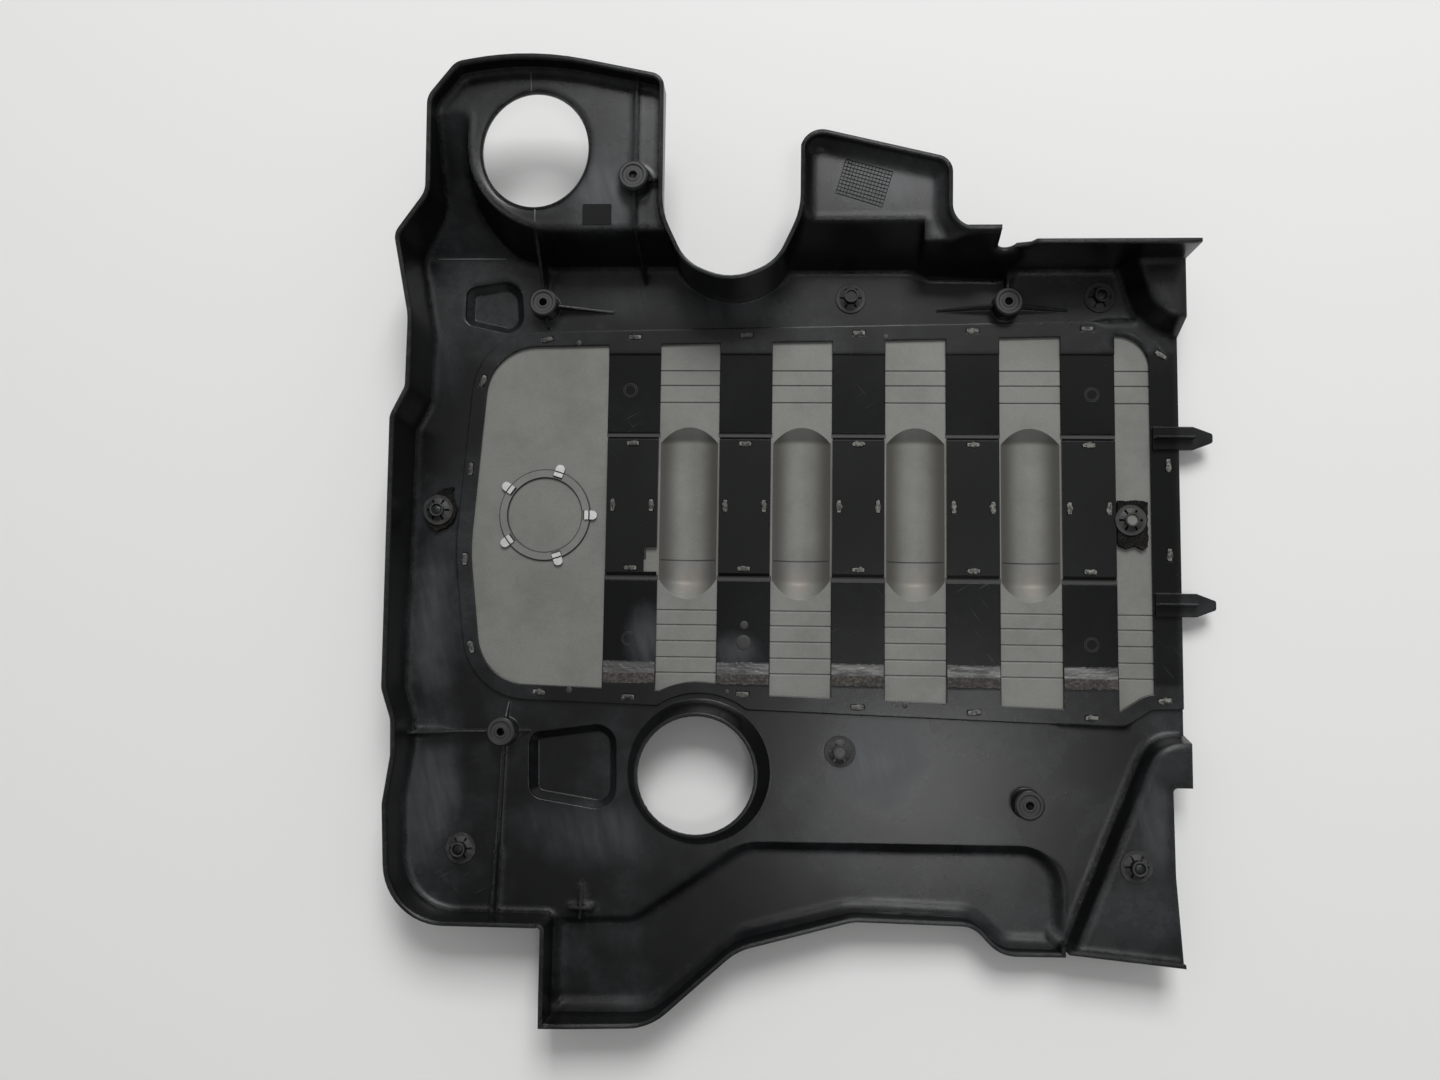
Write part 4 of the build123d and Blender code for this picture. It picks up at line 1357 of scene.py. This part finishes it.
@dataclass
class Studio:
    """Floor, light and camera."""

    floor_colour: Colour = (0.78, 0.78, 0.775)
    zenith: float = 0.32
    horizon: float = 0.36
    south: float = 0.55
    north: float = 1.4
    backdrop: float = 0.85
    eye: Place = mm(-9.453, -76.947, 871.5)
    focal_px: float = 1250.0
    frame_px: tuple[int, int] = (1440, 1080)
    nadir_px: tuple[float, float] = (788.0, 654.0)
    roll: float = math.radians(0.8)
    sensor: float = 36.0
    floor_half: float = 3.0
    floor_drop: float = 0.4 * MM
    side_blend: float = 0.35
    backdrop_span: tuple[float, float] = (0.05, 0.3)
    lamps: tuple[Lamp, ...] = (
        Lamp("key", (0.4, 2.6, 3.2), 1.8, 128.0), Lamp("overhead", (0.3, -0.38, 2.2), 0.34, 4.5),
    )

    def build(self) -> None:
        """Build the whole studio."""
        self._floor()
        self._surround()
        for lamp in self.lamps:
            self._hang(lamp)
        self._camera()
        bpy.context.scene.view_settings.view_transform = "Standard"

    def _floor(self) -> None:
        """Add the pale floor that the part lies on."""
        mesh = bmesh.new()
        bmesh.ops.create_grid(mesh, x_segments=1, y_segments=1, size=self.floor_half)
        data = bpy.data.meshes.new("floor")
        mesh.to_mesh(data)
        mesh.free()
        material = bpy.data.materials.new("floor_white")
        material.use_nodes = True
        shader = material.node_tree.nodes["Principled BSDF"]
        shader.inputs["Base Color"].default_value = (*self.floor_colour, 1.0)
        shader.inputs["Roughness"].default_value = 0.6
        shader.inputs["Specular IOR Level"].default_value = 0.2
        data.materials.append(material)
        item = bpy.data.objects.new("floor", data)
        item.location.z = -self.floor_drop
        bpy.context.scene.collection.objects.link(item)

    def _surround(self) -> None:
        """Add a surround that is brighter overhead and to the north, with a pale backdrop low down."""
        world = bpy.data.worlds.new("surround")
        world.use_nodes = True
        build = NodeBuilder(world.node_tree)
        background = world.node_tree.nodes["Background"]
        parts = build.add("ShaderNodeSeparateXYZ", in_0=build.add("ShaderNodeTexCoord").outputs["Generated"])
        height = parts.outputs["Z"]
        side = build.span(parts.outputs["Y"], -self.side_blend, self.side_blend, self.south, self.north)
        glow = build.math("MULTIPLY", build.span(height, 0.0, 1.0, self.horizon, self.zenith), side)
        rays = build.add("ShaderNodeLightPath").outputs
        seen = build.most([rays["Is Camera Ray"], rays["Is Glossy Ray"], rays["Is Transmission Ray"]])
        low = build.math("MULTIPLY", seen, build.span(height, *self.backdrop_span, 1.0, 0.0))
        shown = build.math("MULTIPLY", build.math("SUBTRACT", self.backdrop, glow), low)
        build.feed(build.math("ADD", glow, shown), background.inputs["Strength"])
        background.inputs["Color"].default_value = (1.0, 1.0, 1.0, 1.0)
        bpy.context.scene.world = world

    @staticmethod
    def _hang(lamp: Lamp) -> None:
        """Add one lamp.

        Args:
            lamp: The lamp.
        """
        data = bpy.data.lights.new(lamp.name, "AREA")
        data.shape = "SQUARE"
        data.size = lamp.size
        data.energy = lamp.power
        item = bpy.data.objects.new(lamp.name, data)
        item.location = lamp.place
        item.rotation_euler = (-Vector(lamp.place)).to_track_quat("-Z", "Y").to_euler()
        bpy.context.scene.collection.objects.link(item)

    def _camera(self) -> None:
        """Add the camera at the photograph's place, turn and field of view."""
        half = Vector((self.frame_px[0] / 2, self.frame_px[1] / 2))
        up = -Vector((self.nadir_px[0] - half.x, self.nadir_px[1] - half.y, self.focal_px)).normalized()
        across = Vector((math.cos(self.roll), math.sin(self.roll), 0.0))
        across = (across - across.dot(up) * up).normalized()
        ahead = up.cross(across)
        axes = Matrix((across, ahead, up))
        turn = Matrix((axes.col[0], -axes.col[1], -axes.col[2])).transposed()
        data = bpy.data.cameras.new("camera")
        data.sensor_fit = "HORIZONTAL"
        data.sensor_width = self.sensor
        data.lens = self.focal_px / self.frame_px[0] * self.sensor
        data.clip_start = 0.01
        camera = bpy.data.objects.new("camera", data)
        camera.matrix_world = Matrix.Translation(self.eye) @ turn.to_4x4()
        bpy.context.scene.collection.objects.link(camera)
        bpy.context.scene.camera = camera


TOWER_TOPS: list[Place] = [
    mm(-114.857, 237.663, 73.0),
    mm(-182.757, 165.863, 23.5),
    mm(139.543, 165.963, 23.5),
    mm(-203.857, -132.337, 23.5),
    mm(150.943, -174.637, 23.5),
]
BARE_STUDS: list[Place] = [
    mm(32.243, 171.863, 9.5),
    mm(204.143, 172.263, 9.5),
    mm(-232.357, -212.537, 9.5),
    mm(26.243, -142.437, 9.5),
    mm(218.343, -211.937, 28.0),
]
FOAM_STUDS: list[Place] = [
    mm(-254.957, 20.063, 9.5),
    mm(222.143, 16.663, 9.5),
]
FOAM_WALL = 3.6 * MM
STUD_RISE = 8.0 * MM

STRIP_TOP = 12.4 * MM
PLATE_TOP = 13.3 * MM
STRIP_STAKES: list[tuple[float, float, float]] = [
    (-181.7, 142.1, 8), (-226.5, 112.3, 68), (-233.2, 49.4, 86), (-235.4, -14.0, 93), (-229.1, -75.1, 110),
    (-180.6, -105.4, 172), (244.4, 131.4, 148), (248.1, 55.0, 90), (248.1, -6.5, 90), (243.2, -104.8, 10),
    (-118.8, 143.8, 0), (-118.8, -107.6, 0), (-40.4, 145.3, 0), (-40.4, -104.6, 0), (38.0, 146.8, 0),
    (38.0, -112.3, 0), (116.4, 148.4, 0), (116.4, -114.7, 0), (194.8, 149.9, 0), (194.8, -117.0, 0),
]
PLATE_STAKES: list[tuple[float, float, float]] = [
    (0.0, 68.1, 0), (0.0, -18.9, 0), (-13.4, 24.6, 90), (13.4, 24.6, 90),
]


def lifted(places: Sequence[Place], rise: float) -> list[Place]:
    """Lift places by a height."""
    return [(x, y, z + rise) for x, y, z in places]


def stake_heads() -> list[tuple[float, float, float, float]]:
    """List the melted heads on the strip and on the plates.

    Returns:
        The place of each head in metres, and its turn in degrees.
    """
    heads = [(x * MM, y * MM, STRIP_TOP, turn) for x, y, turn in STRIP_STAKES]
    for bar in GlueResidue.bars:
        heads += [(bar + x * MM, y * MM, PLATE_TOP, turn) for x, y, turn in PLATE_STAKES]
    return heads


def main() -> None:
    """Dress the part, add its fine pieces, and set up the studio."""
    logging.basicConfig(level=logging.INFO, format="%(name)s %(message)s")
    noise.seed_set(NOISE_SEED)
    shop = FinishShop(EffectLibrary())
    black = shop.plastic(COVER_BLACK, COVER_FILM_AND_SHEEN, SOFT_ZONES, CLEAN_RECESS)
    plate = shop.plastic(PLATE_BLACK)
    worn = shop.plastic(TOWER_BLACK)
    coated = shop.metal(RETAINER_BLACK)
    foam = shop.foam(Foam())
    Bench.dress("main_cover", black)
    Bench.dress("trim_panel", shop.paint(PANEL_GREY, TUBE_END_TINTS_AND_LIGHT))
    silver = shop.metal(DISC_METAL)
    Bench.dress("tabbed_disc", silver)
    for index in range(1, PLATE_COUNT + 1):
        Bench.dress(f"slot_plate_{index}", plate)
    Bench.dress("push_retainers", coated)
    for node in FoamScraps.nodes:
        Bench.dress(node, foam)
    Retainers(places=BARE_STUDS + lifted(FOAM_STUDS, FOAM_WALL)).build(coated)
    FoamScraps().build(foam)
    MeltedStakes(places=stake_heads()).build(shop.stake(Stake()))
    BentTabs().build(silver)
    GlueResidue().build(shop.residue(Residue()))
    tips = lifted(BARE_STUDS + FOAM_STUDS, STUD_RISE)
    seam, mark = shop.plastic(SEAM_HIGHLIGHT), shop.plastic(MARK_BLACK)
    MouldedDetail(towers=TOWER_TOPS, studs=tips).build(black, worn, seam, mark)
    Studio().build()


if __name__ == "__main__":
    main()
